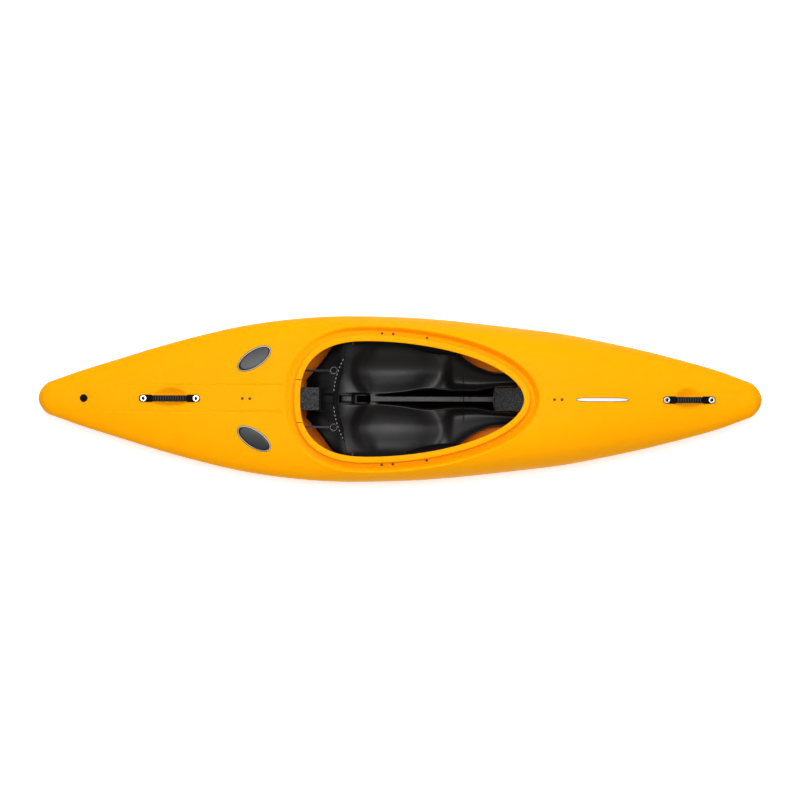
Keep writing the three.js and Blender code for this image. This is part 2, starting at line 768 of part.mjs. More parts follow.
// The coaming's section from the ledge outside it, over the lip, to the ledge's underside.
function coamingSection() {
  const foot = 2 * LIP_ROUNDING;
  const neck = COAMING_HEIGHT - LIP_THICKNESS;
  return [
    [HULL_WALL + foot, 0],
    [HULL_WALL + LIP_ROUNDING / 2, LIP_ROUNDING / 2],
    [HULL_WALL, foot],
    [HULL_WALL, neck - LIP_ROUNDING],
    [HULL_WALL + LIP_ROUNDING, neck],
    [LIP_WIDTH - LIP_ROUNDING, neck],
    [LIP_WIDTH, neck + LIP_ROUNDING],
    [LIP_WIDTH, COAMING_HEIGHT - LIP_ROUNDING],
    [LIP_WIDTH - LIP_ROUNDING, COAMING_HEIGHT],
    [LIP_ROUNDING, COAMING_HEIGHT],
    [0, COAMING_HEIGHT - LIP_ROUNDING],
    [0, LIP_ROUNDING - HULL_WALL],
    [LIP_ROUNDING, -HULL_WALL],
  ];
}

function hullSkin() {
  const moatOffset = (share) => lerp(MOAT_WIDTH, MOAT_FLOOR_WIDTH, share);
  return ringSkin([
    flatRing(0, 0),
    flatRing(0.5, 0),
    ...[...BILGE_RING_SHARES].reverse().map((share) => bilgeRing(share, 0)),
    bilgeRing(0, 0),
    ...[...DECK_RING_SHARES].reverse().map((share) => deckRing(share, 0)),
    ...MOAT_RING_SHARES.map((share) => moatRing(moatOffset(share), 0)),
    ...coamingSection().map(coamingRing),
    ...INNER_MOAT_RING_SHARES.map((share) => moatRing(moatOffset(share), HULL_WALL)),
    ...INNER_DECK_RING_SHARES.map((share) => deckRing(share, HULL_WALL)),
    bilgeRing(0, HULL_WALL),
    ...INNER_BILGE_RING_SHARES.map((share) => bilgeRing(share, HULL_WALL)),
    flatRing(0, HULL_WALL),
  ]);
}

// Places on the deck with the direction that stands on them.

function crownFrame(x) {
  const step = HULL_WALL;
  const slope = (deckHeight(x + step, 0, 0) - deckHeight(x - step, 0, 0)) / (2 * step);
  const place = new THREE.Vector3(x, 0, deckHeight(x, 0, 0));
  return { place, up: new THREE.Vector3(-slope, 0, 1).normalize() };
}

function ledgeFrame(edgeX, side) {
  const step = HULL_WALL;
  const slope = (ledgeHeight(edgeX + step) - ledgeHeight(edgeX - step)) / (2 * step);
  const { x, y } = coamingPoint(coamingAngle(edgeX), LEDGE_SCREW_OFFSET);
  const place = new THREE.Vector3(x, side * y, ledgeHeight(edgeX));
  return { place, up: new THREE.Vector3(-slope, 0, 1).normalize() };
}

// Screws

function screw(headRadius, headHeight, radius, length) {
  return turned(
    [
      [0, -length],
      [radius, -length],
      [radius, 0],
      [headRadius, 0],
      [headRadius, headHeight / 2],
      [headRadius * SCREW_CROWN_SHARE, headHeight],
      [0, headHeight],
    ],
    SCREW_STEPS,
  );
}

// A plain hole right through whatever stands at a place.
function throughHole({ place, up }, screwRadius) {
  const radius = screwRadius + SCREW_CLEARANCE;
  const outline = [
    [0, -CUT_OVERRUN],
    [radius, -CUT_OVERRUN],
    [radius, CUT_OVERRUN],
    [0, CUT_OVERRUN],
  ];
  return placed(turned(outline, SCREW_STEPS), place, up);
}

// A hole with a wider, flat-bottomed seat for a screw head.
function screwHole(frame, radius, seatRadius, seatDepth, steps = SCREW_STEPS) {
  const outline = [
    [0, -CUT_OVERRUN],
    [radius, -CUT_OVERRUN],
    [radius, -seatDepth],
    [seatRadius, -seatDepth],
    [seatRadius, CUT_OVERRUN],
    [0, CUT_OVERRUN],
  ];
  return placed(turned(outline, steps), frame.place, frame.up);
}

function smallScrewHole(frame) {
  const seatRadius = SCREW_HEAD_RADIUS + SCREW_CLEARANCE;
  return screwHole(frame, SCREW_RADIUS + SCREW_CLEARANCE, seatRadius, SPOT_FACE_DEPTH);
}

function smallScrew(frame) {
  const seat = frame.place.clone().addScaledVector(frame.up, SEAT_GAP - SPOT_FACE_DEPTH);
  return placed(screw(SCREW_HEAD_RADIUS, SCREW_HEAD_HEIGHT, SCREW_RADIUS, SCREW_LENGTH), seat, frame.up);
}

// Every small screw by name, with the place and direction it stands on.
function pillarScrewPlaces() {
  const middles = {
    front: COCKPIT_FRONT + BOW_PILLAR_SCREW_GAP,
    rear: lerp(COCKPIT_REAR, REAR_PILLAR_REAR, STERN_PILLAR_SCREW_SHARE),
  };
  const half = PILLAR_SCREW_SPACING / 2;
  return {
    front: { rear: middles.front - half, front: middles.front + half },
    rear: { rear: middles.rear - half, front: middles.rear + half },
  };
}

function smallScrewFrames() {
  const frames = {};
  for (const [sideName, side] of Object.entries(SIDES)) {
    for (const [end, x] of Object.entries(SEAT_SCREW_PLACES)) {
      frames[`seat_screw_${sideName}_${end}`] = ledgeFrame(x, side);
    }
    frames[`brace_screw_${sideName}`] = ledgeFrame(BRACE_SCREW_PLACE, side);
  }
  for (const [pillarName, places] of Object.entries(pillarScrewPlaces())) {
    for (const [end, x] of Object.entries(places)) {
      frames[`${pillarName}_pillar_screw_${end}`] = crownFrame(x);
    }
  }
  return frames;
}

// Handles

function handleHeight(handle, x) {
  const share = clamp((x - handle.centre) / (handle.screwSpacing / 2 - WASHER_RADIUS), -1, 1);
  const arch = HANDLE_ARCH * (1 - share * share) ** HANDLE_ARCH_POWER;
  return deckHeight(x, 0, 0) + SEAT_GAP * 2 + arch + STRAP_THICKNESS;
}

function handleScrewFrame(handle, end) {
  const x = handle.centre + (end * handle.screwSpacing) / 2;
  const { up } = crownFrame(x);
  return { place: new THREE.Vector3(x, 0, handleHeight(handle, x)), up };
}

// Places along a strap, as distances from its middle: through the grip, over the shoulder, to the round end.
function strapPlaces(handle) {
  const grip = handle.gripLength / 2 + SEAT_GAP;
  const half = handle.length / 2;
  const roundStart = half - HANDLE_WIDTH / 2;
  const outwards = [
    ...STRAP_GRIP_SHARES.map((share) => grip * share),
    grip + HANDLE_SHOULDER_LENGTH,
    handle.screwSpacing / 2 - WASHER_RADIUS,
    ...STRAP_END_SHARES.map((share) => lerp(roundStart, half, share)),
  ];
  return [...outwards.map((out) => -out).reverse(), 0, ...outwards];
}

function strapHalfWidth(handle, out) {
  const grip = handle.gripLength / 2 + SEAT_GAP;
  const roundStart = handle.length / 2 - HANDLE_WIDTH / 2;
  const past = Math.max(0, out - roundStart) / (HANDLE_WIDTH / 2);
  const shoulder = smoothstep(out, grip, grip + HANDLE_SHOULDER_LENGTH);
  const full = lerp(HANDLE_NECK_WIDTH, HANDLE_WIDTH, shoulder) / 2;
  return full * Math.sqrt(1 - STRAP_END_ROUNDNESS * past * past);
}

// The strap's face over its length, widened and raised by the given margin to make the slot in the grip.
function strapGrid(handle, margin) {
  return strapPlaces(handle).map((along) => {
    const x = handle.centre + along;
    const width = strapHalfWidth(handle, Math.abs(along)) + margin;
    return [-1, 0, 1].map((across) => new THREE.Vector3(x, across * width, handleHeight(handle, x) + margin));
  });
}

function handleStrap(handle) {
  const holes = [-1, 1].map((end) => throughHole(handleScrewFrame(handle, end), HANDLE_SCREW_RADIUS));
  return cut(plate(strapGrid(handle, 0), STRAP_THICKNESS), holes);
}

function handleGrip(handle) {
  const steps = 2 * Math.round(handle.gripLength / GRIP_RIB_PITCH);
  const rings = Array.from({ length: steps + 1 }, (_, i) => {
    const x = handle.centre + handle.gripLength * (i / steps - 1 / 2);
    const rib = i % 2 === 1 ? 0 : GRIP_RIB_DEPTH;
    const middle = handleHeight(handle, x) - STRAP_THICKNESS / 2;
    return Array.from({ length: GRIP_STEPS }, (_, k) => {
      const angle = (k / GRIP_STEPS) * 2 * Math.PI;
      const y = (GRIP_WIDTH / 2 - rib) * Math.cos(angle);
      const z = middle + (GRIP_HEIGHT / 2 - rib) * Math.sin(angle);
      return new THREE.Vector3(x, y, z);
    });
  });
  const slot = plate(strapGrid(handle, SEAT_GAP), STRAP_THICKNESS + 2 * SEAT_GAP);
  return cut(ringSkin(rings, true), [slot]);
}

function washer() {
  const inner = HANDLE_SCREW_RADIUS + SCREW_CLEARANCE;
  return turned([
    [inner, 0],
    [WASHER_RADIUS, 0],
    [WASHER_RADIUS, WASHER_THICKNESS / 2],
    [WASHER_RADIUS - WASHER_THICKNESS / 2, WASHER_THICKNESS],
    [inner, WASHER_THICKNESS],
    [inner, 0],
  ]);
}

// Finger wells: a bowl hangs under the deck and its inside is cut out.

function wellBowl(well, grow, top) {
  const outline = Array.from({ length: WELL_LAYERS + 1 }, (_, i) => {
    const turn = (i / WELL_LAYERS) * (Math.PI / 2);
    return [Math.sin(turn), -Math.cos(turn)];
  });
  outline.push([1, top], [0, top]);
  const bowl = turned(outline).scale(well.halfLength + grow, well.halfWidth + grow, well.depth + grow);
  const { place, up } = crownFrame(well.centre);
  return placed(bowl, place, up);
}

function withWell(shell, well) {
  const sunk = wellBowl(well, HULL_WALL, 0).translate(0, 0, -HULL_WALL / 2);
  return cut(join(shell, [sunk]), [wellBowl(well, 0, 1)]);
}

// Deck lines

function deckLineTool(side) {
  const rear = DECK_LINE_INSET - BOW;
  const front = COCKPIT_REAR - DECK_LINE_GAP;
  const rings = Array.from({ length: DECK_LINE_STEPS + 1 }, (_, i) => {
    const x = lerp(rear, front, i / DECK_LINE_STEPS);
    const y = side * DECK_LINE_OFFSET;
    const z = deckHeight(x, y, 0);
    const depth = lerp(DECK_LINE_REAR_DEPTH, DECK_LINE_FRONT_DEPTH, i / DECK_LINE_STEPS);
    return [
      new THREE.Vector3(x, y, z - depth),
      new THREE.Vector3(x, y + DECK_LINE_WIDTH / 2, z + DECK_LINE_REAR_DEPTH),
      new THREE.Vector3(x, y - DECK_LINE_WIDTH / 2, z + DECK_LINE_REAR_DEPTH),
    ];
  });
  return ringSkin(rings, true);
}

// Drain

function drainTools() {
  const { place, up } = crownFrame(DRAIN_PLACE);
  const radius = (DRAIN_DISH_RADIUS ** 2 + DRAIN_DISH_DEPTH ** 2) / (2 * DRAIN_DISH_DEPTH);
  const centre = place.clone().addScaledVector(up, radius - DRAIN_DISH_DEPTH);
  const limit = Math.asin((DRAIN_DISH_RADIUS + DRAIN_SLEEVE_RADIUS) / radius);
  const outline = Array.from({ length: DISH_STEPS + 1 }, (_, i) => {
    const turn = (limit * i) / DISH_STEPS;
    return [radius * Math.sin(turn), -radius * Math.cos(turn)];
  });
  outline.push([0, outline[DISH_STEPS][1]]);
  const hole = DRAIN_SLEEVE_RADIUS + SEAT_GAP;
  const seat = DRAIN_FLANGE_RADIUS + SEAT_GAP;
  const bore = screwHole({ place, up }, hole, seat, DRAIN_DISH_DEPTH, ROUND_STEPS);
  return [placed(turned(outline), centre, up), bore];
}

function drainBush() {
  const { place, up } = crownFrame(DRAIN_PLACE);
  const seat = place.clone().addScaledVector(up, SEAT_GAP - DRAIN_DISH_DEPTH);
  return placed(
    turned([
      [DRAIN_BORE_RADIUS, -DRAIN_DEPTH],
      [DRAIN_SLEEVE_RADIUS, -DRAIN_DEPTH],
      [DRAIN_SLEEVE_RADIUS, 0],
      [DRAIN_FLANGE_RADIUS, 0],
      [DRAIN_FLANGE_RADIUS, DRAIN_FLANGE_THICKNESS],
      [DRAIN_BORE_RADIUS, DRAIN_FLANGE_THICKNESS],
      [DRAIN_BORE_RADIUS, -DRAIN_DEPTH],
    ]),
    seat,
    up,
  );
}

function drainPlug() {
  const { place, up } = crownFrame(DRAIN_PLACE);
  const seat = place.clone().addScaledVector(up, 2 * SEAT_GAP - DRAIN_DISH_DEPTH + DRAIN_FLANGE_THICKNESS);
  const shank = DRAIN_BORE_RADIUS - PLUG_CLEARANCE;
  const body = turned([
    [0, -DRAIN_DEPTH],
    [shank - PLUG_CHAMFER, -DRAIN_DEPTH],
    [shank, PLUG_CHAMFER - DRAIN_DEPTH],
    [shank, 0],
    [PLUG_HEAD_RADIUS, 0],
    [PLUG_HEAD_RADIUS, PLUG_HEAD_HEIGHT - PLUG_CHAMFER],
    [PLUG_HEAD_RADIUS - PLUG_CHAMFER, PLUG_HEAD_HEIGHT],
    [0, PLUG_HEAD_HEIGHT],
  ]);
  const tall = PLUG_HEAD_HEIGHT + PLUG_GRIP_HEIGHT;
  const bar = block(PLUG_GRIP_LENGTH, PLUG_GRIP_WIDTH, tall, 0, 0, tall / 2);
  return placed(join(body, [bar]), seat, up);
}

// Seat

const seatTables = {
  edge: curveThrough(SEAT_EDGE_SHARES),
  rim: curveThrough(SEAT_RIM_SHARES),
  ridgePlace: curveThrough(RIDGE_PLACE_SHARES),
  ridge: curveThrough(RIDGE_HEIGHT_SHARES),
  spine: curveThrough(SPINE_HEIGHT_SHARES),
  groove: curveThrough(GROOVE_DEPTH_SHARES),
  bowl: curveThrough(BOWL_HEIGHT_SHARES),
  shoulder: curveThrough(SHOULDER_HEIGHT_SHARES),
  bowlOrChannel: curveThrough(BOWL_OR_CHANNEL_SHARES),
};

// The port half of the seat's cross section, from the centre line out to the flange's edge.
function seatHalfSection(share) {
  const x = SEAT_REAR + SEAT_LENGTH * share;
  const lift = rocker(x);
  const edge = SEAT_HALF_WIDTH * seatTables.edge(share);
  const top = (ledgeHeight(x) - HULL_WALL - SEAT_GAP) * seatTables.rim(share);
  const ridgePlace = GROOVE_HALF_WIDTH * seatTables.ridgePlace(share);
  const ridge = lift + SEAT_RISE * seatTables.ridge(share);
  const spine = lift + SEAT_RISE * seatTables.spine(share);
  const groove = lerp(Math.min(spine, ridge), lift + GROOVE_FLOOR_HEIGHT, seatTables.groove(share));
  const bowl = lift + SEAT_RISE * seatTables.bowl(share);
  const shoulder = lift + SEAT_RISE * seatTables.shoulder(share);
  const wanted = lerp(CHANNEL_CENTRE, BOWL_CENTRE, seatTables.bowlOrChannel(share));
  const low = Math.min(wanted, (ridgePlace + edge) / 2);
  const inside = smoothstep(x, SEAT_FLANGE_END.rear, SEAT_FLANGE_END.rear + SEAT_FLANGE_RUN);
  const outside = smoothstep(x, SEAT_FLANGE_END.front - SEAT_FLANGE_RUN, SEAT_FLANGE_END.front);
  const flange = lerp(SEAT_WALL, SEAT_FLANGE_WIDTH, inside * (1 - outside));
  const fall = SEAT_FALL_SHARES.map(([across, down]) => {
    return [lerp(ridgePlace, low, across), lerp(ridge, bowl, down)];
  });
  const climb = SEAT_CLIMB_SHARES.map(([across, up]) => {
    const height = up <= 1 ? lerp(bowl, shoulder, up) : lerp(shoulder, top, up - 1);
    return [lerp(low, edge, across), height];
  });
  const surface = new THREE.CatmullRomCurve3(
    [...fall, ...climb].map(([y, z]) => new THREE.Vector3(x, y, z)),
    false,
    "centripetal",
  ).getPoints(SEAT_SURFACE_STEPS);
  return [
    new THREE.Vector3(x, 0, spine),
    new THREE.Vector3(x, SPINE_HALF_WIDTH, spine),
    new THREE.Vector3(x, SPINE_HALF_WIDTH + SPINE_DRAFT, groove),
    new THREE.Vector3(x, Math.max(ridgePlace - RIDGE_DRAFT, SPINE_HALF_WIDTH + 2 * SPINE_DRAFT), groove),
    ...surface,
    new THREE.Vector3(x, edge + flange, top),
  ];
}

function seatPan() {
  const grid = SEAT_STATION_SHARES.map((share) => {
    const half = seatHalfSection(share);
    const mirrored = half
      .slice(1)
      .reverse()
      .map(({ x, y, z }) => new THREE.Vector3(x, -y, z));
    return [...mirrored, ...half];
  });
  const frames = smallScrewFrames();
  const holes = Object.keys(frames)
    .filter((name) => name.startsWith("seat_screw"))
    .map((name) => throughHole(frames[name], SCREW_RADIUS));
  const anchors = Object.values(SIDES).map((side) => {
    const place = new THREE.Vector3(ANCHOR_PLACE, side * anchorWall(), ANCHOR_HEIGHT);
    return throughHole({ place, up: new THREE.Vector3(0, side, 0) }, SCREW_RADIUS);
  });
  const room = PILLAR_WIDTH / 2 + PILLAR_GAP;
  const front = SEAT_REAR + SEAT_LENGTH + CUT_OVERRUN;
  const rear = FRONT_PILLAR_REAR - PILLAR_GAP;
  const pillarGap = block(front - rear, 2 * room, DECK_HEIGHT, (front + rear) / 2, 0, DECK_HEIGHT / 2);
  return cut(plate(grid, SEAT_WALL), [...holes, ...anchors, pillarGap]);
}

// How far out the seat's side wall stands at the backband's anchors.
function anchorWall() {
  const share = (ANCHOR_PLACE - SEAT_REAR) / SEAT_LENGTH;
  const section = seatHalfSection(share).slice(4, -1);
  const above = section.findIndex(({ z, y }) => z >= ANCHOR_HEIGHT && y > SEAT_HALF_WIDTH / 2);
  const [low, high] = [section[above - 1], section[above]];
  return lerp(low.y, high.y, (ANCHOR_HEIGHT - low.z) / (high.z - low.z));
}

// Foam pillars, cut from sheet to the hull's inner profile

function pillar(outline) {
  const shape = new THREE.Shape(outline.map(([x, z]) => new THREE.Vector2(x, z)));
  return new THREE.ExtrudeGeometry(shape, { depth: PILLAR_WIDTH, bevelEnabled: false, curveSegments: 1 })
    .rotateX(Math.PI / 2)
    .translate(0, PILLAR_WIDTH / 2, 0);
}

// Underside of the deck over a pillar, at or beyond either end of the cockpit.
function pillarTop(x) {
  const offset = Math.max(COCKPIT_REAR - x, x - COCKPIT_FRONT);
  const blend = smoothstep(offset, MOAT_FLOOR_WIDTH + HULL_WALL, MOAT_WIDTH);
  const deck = deckHeight(x, PILLAR_WIDTH / 2, HULL_WALL);
  return lerp(Math.min(deck, ledgeHeight(x) - HULL_WALL), deck, blend) - PILLAR_GAP;
}

function pillarBottom(x) {
  return keelHeight(x, HULL_WALL) + PILLAR_GAP / 2;
}

function placesBetween(start, end) {
  return Array.from({ length: PILLAR_STEPS + 1 }, (_, i) => lerp(start, end, i / PILLAR_STEPS));
}

function frontPillar() {
  const bottom = placesBetween(FRONT_PILLAR_REAR, FRONT_PILLAR_FRONT);
  const top = placesBetween(FRONT_PILLAR_FRONT, COCKPIT_FRONT + FRONT_PILLAR_TOP_GAP);
  const outline = [
    ...bottom.map((x) => [x, pillarBottom(x)]),
    ...top.map((x) => [x, pillarTop(x)]),
    [FRONT_PILLAR_REAR, FRONT_PILLAR_LOW_HEIGHT],
  ];
  const frames = Object.values(pillarScrewPlaces().front).map(crownFrame);
  return cut(
    pillar(outline),
    frames.map((frame) => throughHole(frame, SCREW_RADIUS)),
  );
}

function rearPillar() {
  const seatRoom = SEAT_REAR - SEAT_WALL - PILLAR_GAP;
  const bottom = placesBetween(REAR_PILLAR_REAR, seatRoom);
  const top = placesBetween(COCKPIT_REAR, REAR_PILLAR_REAR);
  const outline = [
    ...bottom.map((x) => [x, pillarBottom(x)]),
    [seatRoom, REAR_PILLAR_SOLE],
    [REAR_PILLAR_FRONT, REAR_PILLAR_SOLE],
    [REAR_PILLAR_FRONT, REAR_PILLAR_HEIGHT],
    ...top.map((x) => [x, Math.max(pillarTop(x), x < COCKPIT_REAR ? 0 : REAR_PILLAR_HEIGHT)]),
  ];
  const frames = Object.values(pillarScrewPlaces().rear).map(crownFrame);
  return cut(
    pillar(outline),
    frames.map((frame) => throughHole(frame, SCREW_RADIUS)),
  );
}

function pillarBracket() {
  const rear = REAR_PILLAR_FRONT + SEAT_GAP;
  const middle = BRACKET_BOTTOM + BRACKET_HEIGHT / 2;
  const back = block(BRACKET_WALL, BRACKET_WIDTH, BRACKET_HEIGHT, rear + BRACKET_WALL / 2, 0, middle);
  const arms = Object.values(SIDES).map((side) =>
    block(
      BRACKET_LENGTH,
      BRACKET_WALL,
      BRACKET_HEIGHT,
      rear + BRACKET_LENGTH / 2,
      (side * (BRACKET_WIDTH - BRACKET_WALL)) / 2,
      middle,
    ),
  );
  return join(back, arms);
}

// Backband

function bandPoint(share, height, standoff) {
  const angle = BAND_HALF_ANGLE * share;
  const radius = BAND_RADIUS - standoff;
  const tall = lerp(BAND_HEIGHT, BAND_END_HEIGHT, share ** BAND_TAPER_POWER);
  const middle = BAND_BOTTOM + BAND_HEIGHT / 2;
  return new THREE.Vector3(
    BAND_CENTRE + BAND_RADIUS - radius * Math.cos(angle),
    radius * Math.sin(angle),
    middle + tall * (height - 1 / 2),
  );
}

function bandGrid(columns, rows, standoff, inset) {
  return Array.from({ length: columns + 1 }, (_, i) => {
    const share = inset * ((2 * i) / columns - 1);
    return Array.from({ length: rows + 1 }, (_, j) => {
      const height = 1 / 2 + inset * (j / rows - 1 / 2);
      return bandPoint(share, height, standoff);
    });
  });
}

function backbandShell() {
  return plate(bandGrid(BAND_COLUMNS, BAND_ROWS, BAND_THICKNESS, 1), BAND_THICKNESS);
}

function padThickness(columns, rows) {
  return (i, j) => {
    const across = Math.abs((2 * i) / columns - 1);
    const up = Math.abs((2 * j) / rows - 1);
    const crown = Math.sqrt(Math.max(0, (1 - across ** PAD_END_POWER) * (1 - up ** PAD_EDGE_POWER)));
    const channel = Math.exp(-(((across - PAD_CHANNEL_SHARE) / PAD_CHANNEL_WIDTH_SHARE) ** 2));
    const full = BAND_PAD_THICKNESS * (1 - PAD_CHANNEL_DEPTH_SHARE * channel);
    return lerp(PAD_EDGE_THICKNESS, full, crown);
  };
}

function backbandPad() {
  const grid = bandGrid(PAD_COLUMNS, PAD_ROWS, BAND_THICKNESS + SEAT_GAP, PAD_INSET_SHARE);
  const thickness = padThickness(PAD_COLUMNS, PAD_ROWS);
  return plate(grid, (i, j) => -thickness(i, j));
}

// A flat strap through points in plan, standing on its edge.
function edgeStrap(points, width, thickness) {
  const grid = points.map((point) =>
    [-1, 1].map((side) => new THREE.Vector3(point.x, point.y, point.z + (side * width) / 2)),
  );
  return plate(grid, thickness);
}

function bandSideStrap(side) {
  const wall = anchorWall() - ANCHOR_CLEARANCE;
  const end = bandPoint(1, 1 / 2, 0);
  const start = new THREE.Vector3(end.x + SEAT_GAP, end.y + SEAT_GAP, end.z);
  const past = WEBBING_WIDTH / 2;
  const points = [
    start,
    new THREE.Vector3(ANCHOR_PLACE - past, wall - WEBBING_THICKNESS / 2, ANCHOR_HEIGHT),
    new THREE.Vector3(ANCHOR_PLACE + past, wall - WEBBING_THICKNESS / 2, ANCHOR_HEIGHT),
  ];
  const strap = edgeStrap(points, WEBBING_WIDTH, WEBBING_THICKNESS);
  const place = new THREE.Vector3(ANCHOR_PLACE, wall, ANCHOR_HEIGHT);
  const holed = cut(strap, [throughHole({ place, up: new THREE.Vector3(0, 1, 0) }, SCREW_RADIUS)]);
  return side > 0 ? holed : mirroredAcross(holed);
}

function mirroredAcross(geometry) {
  return facingOut(geometry.scale(1, -1, 1));
}

function anchorScrew(side) {
  const wall = anchorWall() - ANCHOR_CLEARANCE - (3 * WEBBING_THICKNESS) / 2 - SEAT_GAP;
  const place = new THREE.Vector3(ANCHOR_PLACE, side * wall, ANCHOR_HEIGHT);
  const inward = new THREE.Vector3(0, -side, 0);
  const fastener = screw(ANCHOR_SCREW_HEAD_RADIUS, SCREW_HEAD_HEIGHT, SCREW_RADIUS, SCREW_LENGTH);
  return placed(fastener, place, inward);
}

function bandRing(side) {
  const ring = new THREE.TorusGeometry(RING_RADIUS, RING_WIRE_RADIUS, WIRE_STEPS, STRAP_RING_STEPS);
  const share = Math.asin(RING_OFFSET / BAND_RADIUS) / BAND_HALF_ANGLE;
  const behind = bandPoint(share, 1 / 2, -RING_WIRE_RADIUS - 3 * SEAT_GAP);
  return ring.translate(behind.x - RING_RADIUS, side * RING_OFFSET, RING_HEIGHT);
}

function rearStrap(side) {
  const share = Math.asin(RING_OFFSET / BAND_RADIUS) / BAND_HALF_ANGLE;
  const ringCentre = bandPoint(share, 1 / 2, -RING_WIRE_RADIUS - SEAT_GAP).x - RING_RADIUS;
  const start = ringCentre - RING_RADIUS - 2 * RING_WIRE_RADIUS;
  const flat = PILLAR_WIDTH / 2 + REAR_STRAP_THICKNESS + SEAT_GAP;
  const points = [
    new THREE.Vector3(start, RING_OFFSET, RING_HEIGHT),
    new THREE.Vector3(REAR_STRAP_BEND, RING_OFFSET, RING_HEIGHT),
    new THREE.Vector3(REAR_STRAP_END, flat, RING_HEIGHT),
    new THREE.Vector3(REAR_STRAP_END - 2 * REAR_STRAP_WIDTH, flat, RING_HEIGHT),
  ];
  const strap = edgeStrap(points, REAR_STRAP_WIDTH, REAR_STRAP_THICKNESS);
  return side > 0 ? strap : mirroredAcross(strap);
}

// Thigh braces: a flange under the ledge and a hook that curves down and in

function thighBrace(side) {
  const grid = Array.from({ length: BRACE_STEPS + 1 }, (_, i) => {
    const share = i / BRACE_STEPS;
    const edgeX = BRACE_REAR + BRACE_LENGTH * share;
    const angle = coamingAngle(edgeX);
    const top = ledgeHeight(edgeX) - HULL_WALL - 2 * SEAT_GAP;
    const swell = Math.sin(Math.PI * lerp(BRACE_END_SHARE, 1 - BRACE_END_SHARE, share));
    const drop = BRACE_DROP * lerp(BRACE_END_DROP_SHARE, 1, swell);
    const reach = BRACE_REACH * swell;
    const hook = BRACE_HOOK_SHARES.map(([inwards, down]) => [-reach * inwards, top - drop * down]);
    const outside = BRACE_FLANGE_INSET + BRACE_FLANGE_WIDTH;
    const flange = [BRACE_FLANGE_INSET, outside].map((offset) => [offset, top]);
    return [...hook, ...flange].map(([offset, z]) => {
      const { x, y } = coamingPoint(angle, offset);
      return new THREE.Vector3(x, y, z);
    });
  });
  const hole = throughHole(ledgeFrame(BRACE_SCREW_PLACE, 1), SCREW_RADIUS);
  const brace = cut(plate(grid, BRACE_WALL), [hole]);
  return side > 0 ? brace : mirroredAcross(brace);
}

// Foot rails. A rail's own frame has +X along it, +Y outwards to the hull, and its origin at its middle.

function railEnd(x) {
  const wall = halfBreadth(x, RAIL_CENTRE_HEIGHT, HULL_WALL);
  return new THREE.Vector2(x, wall - RAIL_STANDOFF - RAIL_THICKNESS / 2);
}

function railFrame() {
  const rear = railEnd(RAIL_REAR);
  const front = railEnd(RAIL_REAR + RAIL_LENGTH);
  const middle = rear.clone().add(front).multiplyScalar(1 / 2);
  return { middle, turn: Math.atan2(front.y - rear.y, front.x - rear.x) };
}

// How far outside a rail's middle the hull's wall is, at a place along the rail.
function hullFromRail(along, inset) {
  const { middle, turn } = railFrame();
  let out = 0;
  for (let pass = 0; pass < WALL_PASSES; pass++) {
    const x = middle.x + along * Math.cos(turn) - out * Math.sin(turn);
    const y = middle.y + along * Math.sin(turn);
    out = (halfBreadth(x, RAIL_CENTRE_HEIGHT, inset) - y) / Math.cos(turn);
  }
  return out;
}

function railBoltPlaces() {
  const reach = RAIL_LENGTH / 2 - RAIL_BOLT_INSET;
  return { rear: -reach, front: reach };
}

function outFromRail(radius, from, to, along) {
  const outline = [
    [0, from],
    [radius, from],
    [radius, to],
    [0, to],
  ];
  return turned(outline, SCREW_STEPS)
    .rotateX(-Math.PI / 2)
    .translate(along, 0, 0);
}

function footRail() {
  const places = Object.values(railBoltPlaces());
  const bar = block(RAIL_LENGTH, RAIL_THICKNESS, RAIL_HEIGHT, 0, 0, 0);
  const bosses = places.map((along) =>
    outFromRail(RAIL_BOSS_RADIUS, 0, hullFromRail(along, HULL_WALL) - RAIL_BOSS_GAP, along),
  );
  const holes = places.map((along) =>
    outFromRail(BOLT_RADIUS + SCREW_CLEARANCE, -CUT_OVERRUN, 2 * CUT_OVERRUN, along),
  );
  return cut(join(bar, bosses), holes);
}

function railBolt(along) {
  const outside = hullFromRail(along, 0) - BOLT_RECESS_DEPTH + SEAT_GAP;
  const shank = outside + RAIL_THICKNESS / 2;
  return screw(BOLT_HEAD_RADIUS, BOLT_HEAD_HEIGHT, BOLT_RADIUS, shank)
    .rotateX(-Math.PI / 2)
    .translate(along, outside, 0);
}

function railBoltHole(along) {
  const outside = hullFromRail(along, 0);
  const radius = BOLT_RADIUS + SCREW_CLEARANCE;
  const seat = BOLT_HEAD_RADIUS + SCREW_CLEARANCE;
  const outline = [
    [0, 0],
    [radius, 0],
    [radius, outside - BOLT_RECESS_DEPTH],
    [seat, outside - BOLT_RECESS_DEPTH],
    [seat, outside + CUT_OVERRUN],
    [0, outside + CUT_OVERRUN],
  ];
  return turned(outline, SCREW_STEPS)
    .rotateX(-Math.PI / 2)
    .translate(along, 0, 0);
}

// Moves geometry from a rail's frame into the hull's.
function fromRail(geometry, side) {
  const { middle, turn } = railFrame();
  geometry.rotateZ(turn).translate(middle.x, middle.y, RAIL_CENTRE_HEIGHT);
  return side > 0 ? geometry : mirroredAcross(geometry);
}

function carriageSize() {
  const wall = CARRIAGE_CLEARANCE + CARRIAGE_WALL;
  return { tall: RAIL_HEIGHT + 2 * wall, thick: RAIL_THICKNESS + 2 * wall };
}

// The lever stands beside the carriage, on the boat's side of it.
function leverPivot() {
  const beside = carriageSize().thick / 2 + LEVER_CLEARANCE + LEVER_WIDTH / 2;
  return { x: LEVER_BARREL_RADIUS - CARRIAGE_LENGTH / 2, y: -beside };
}

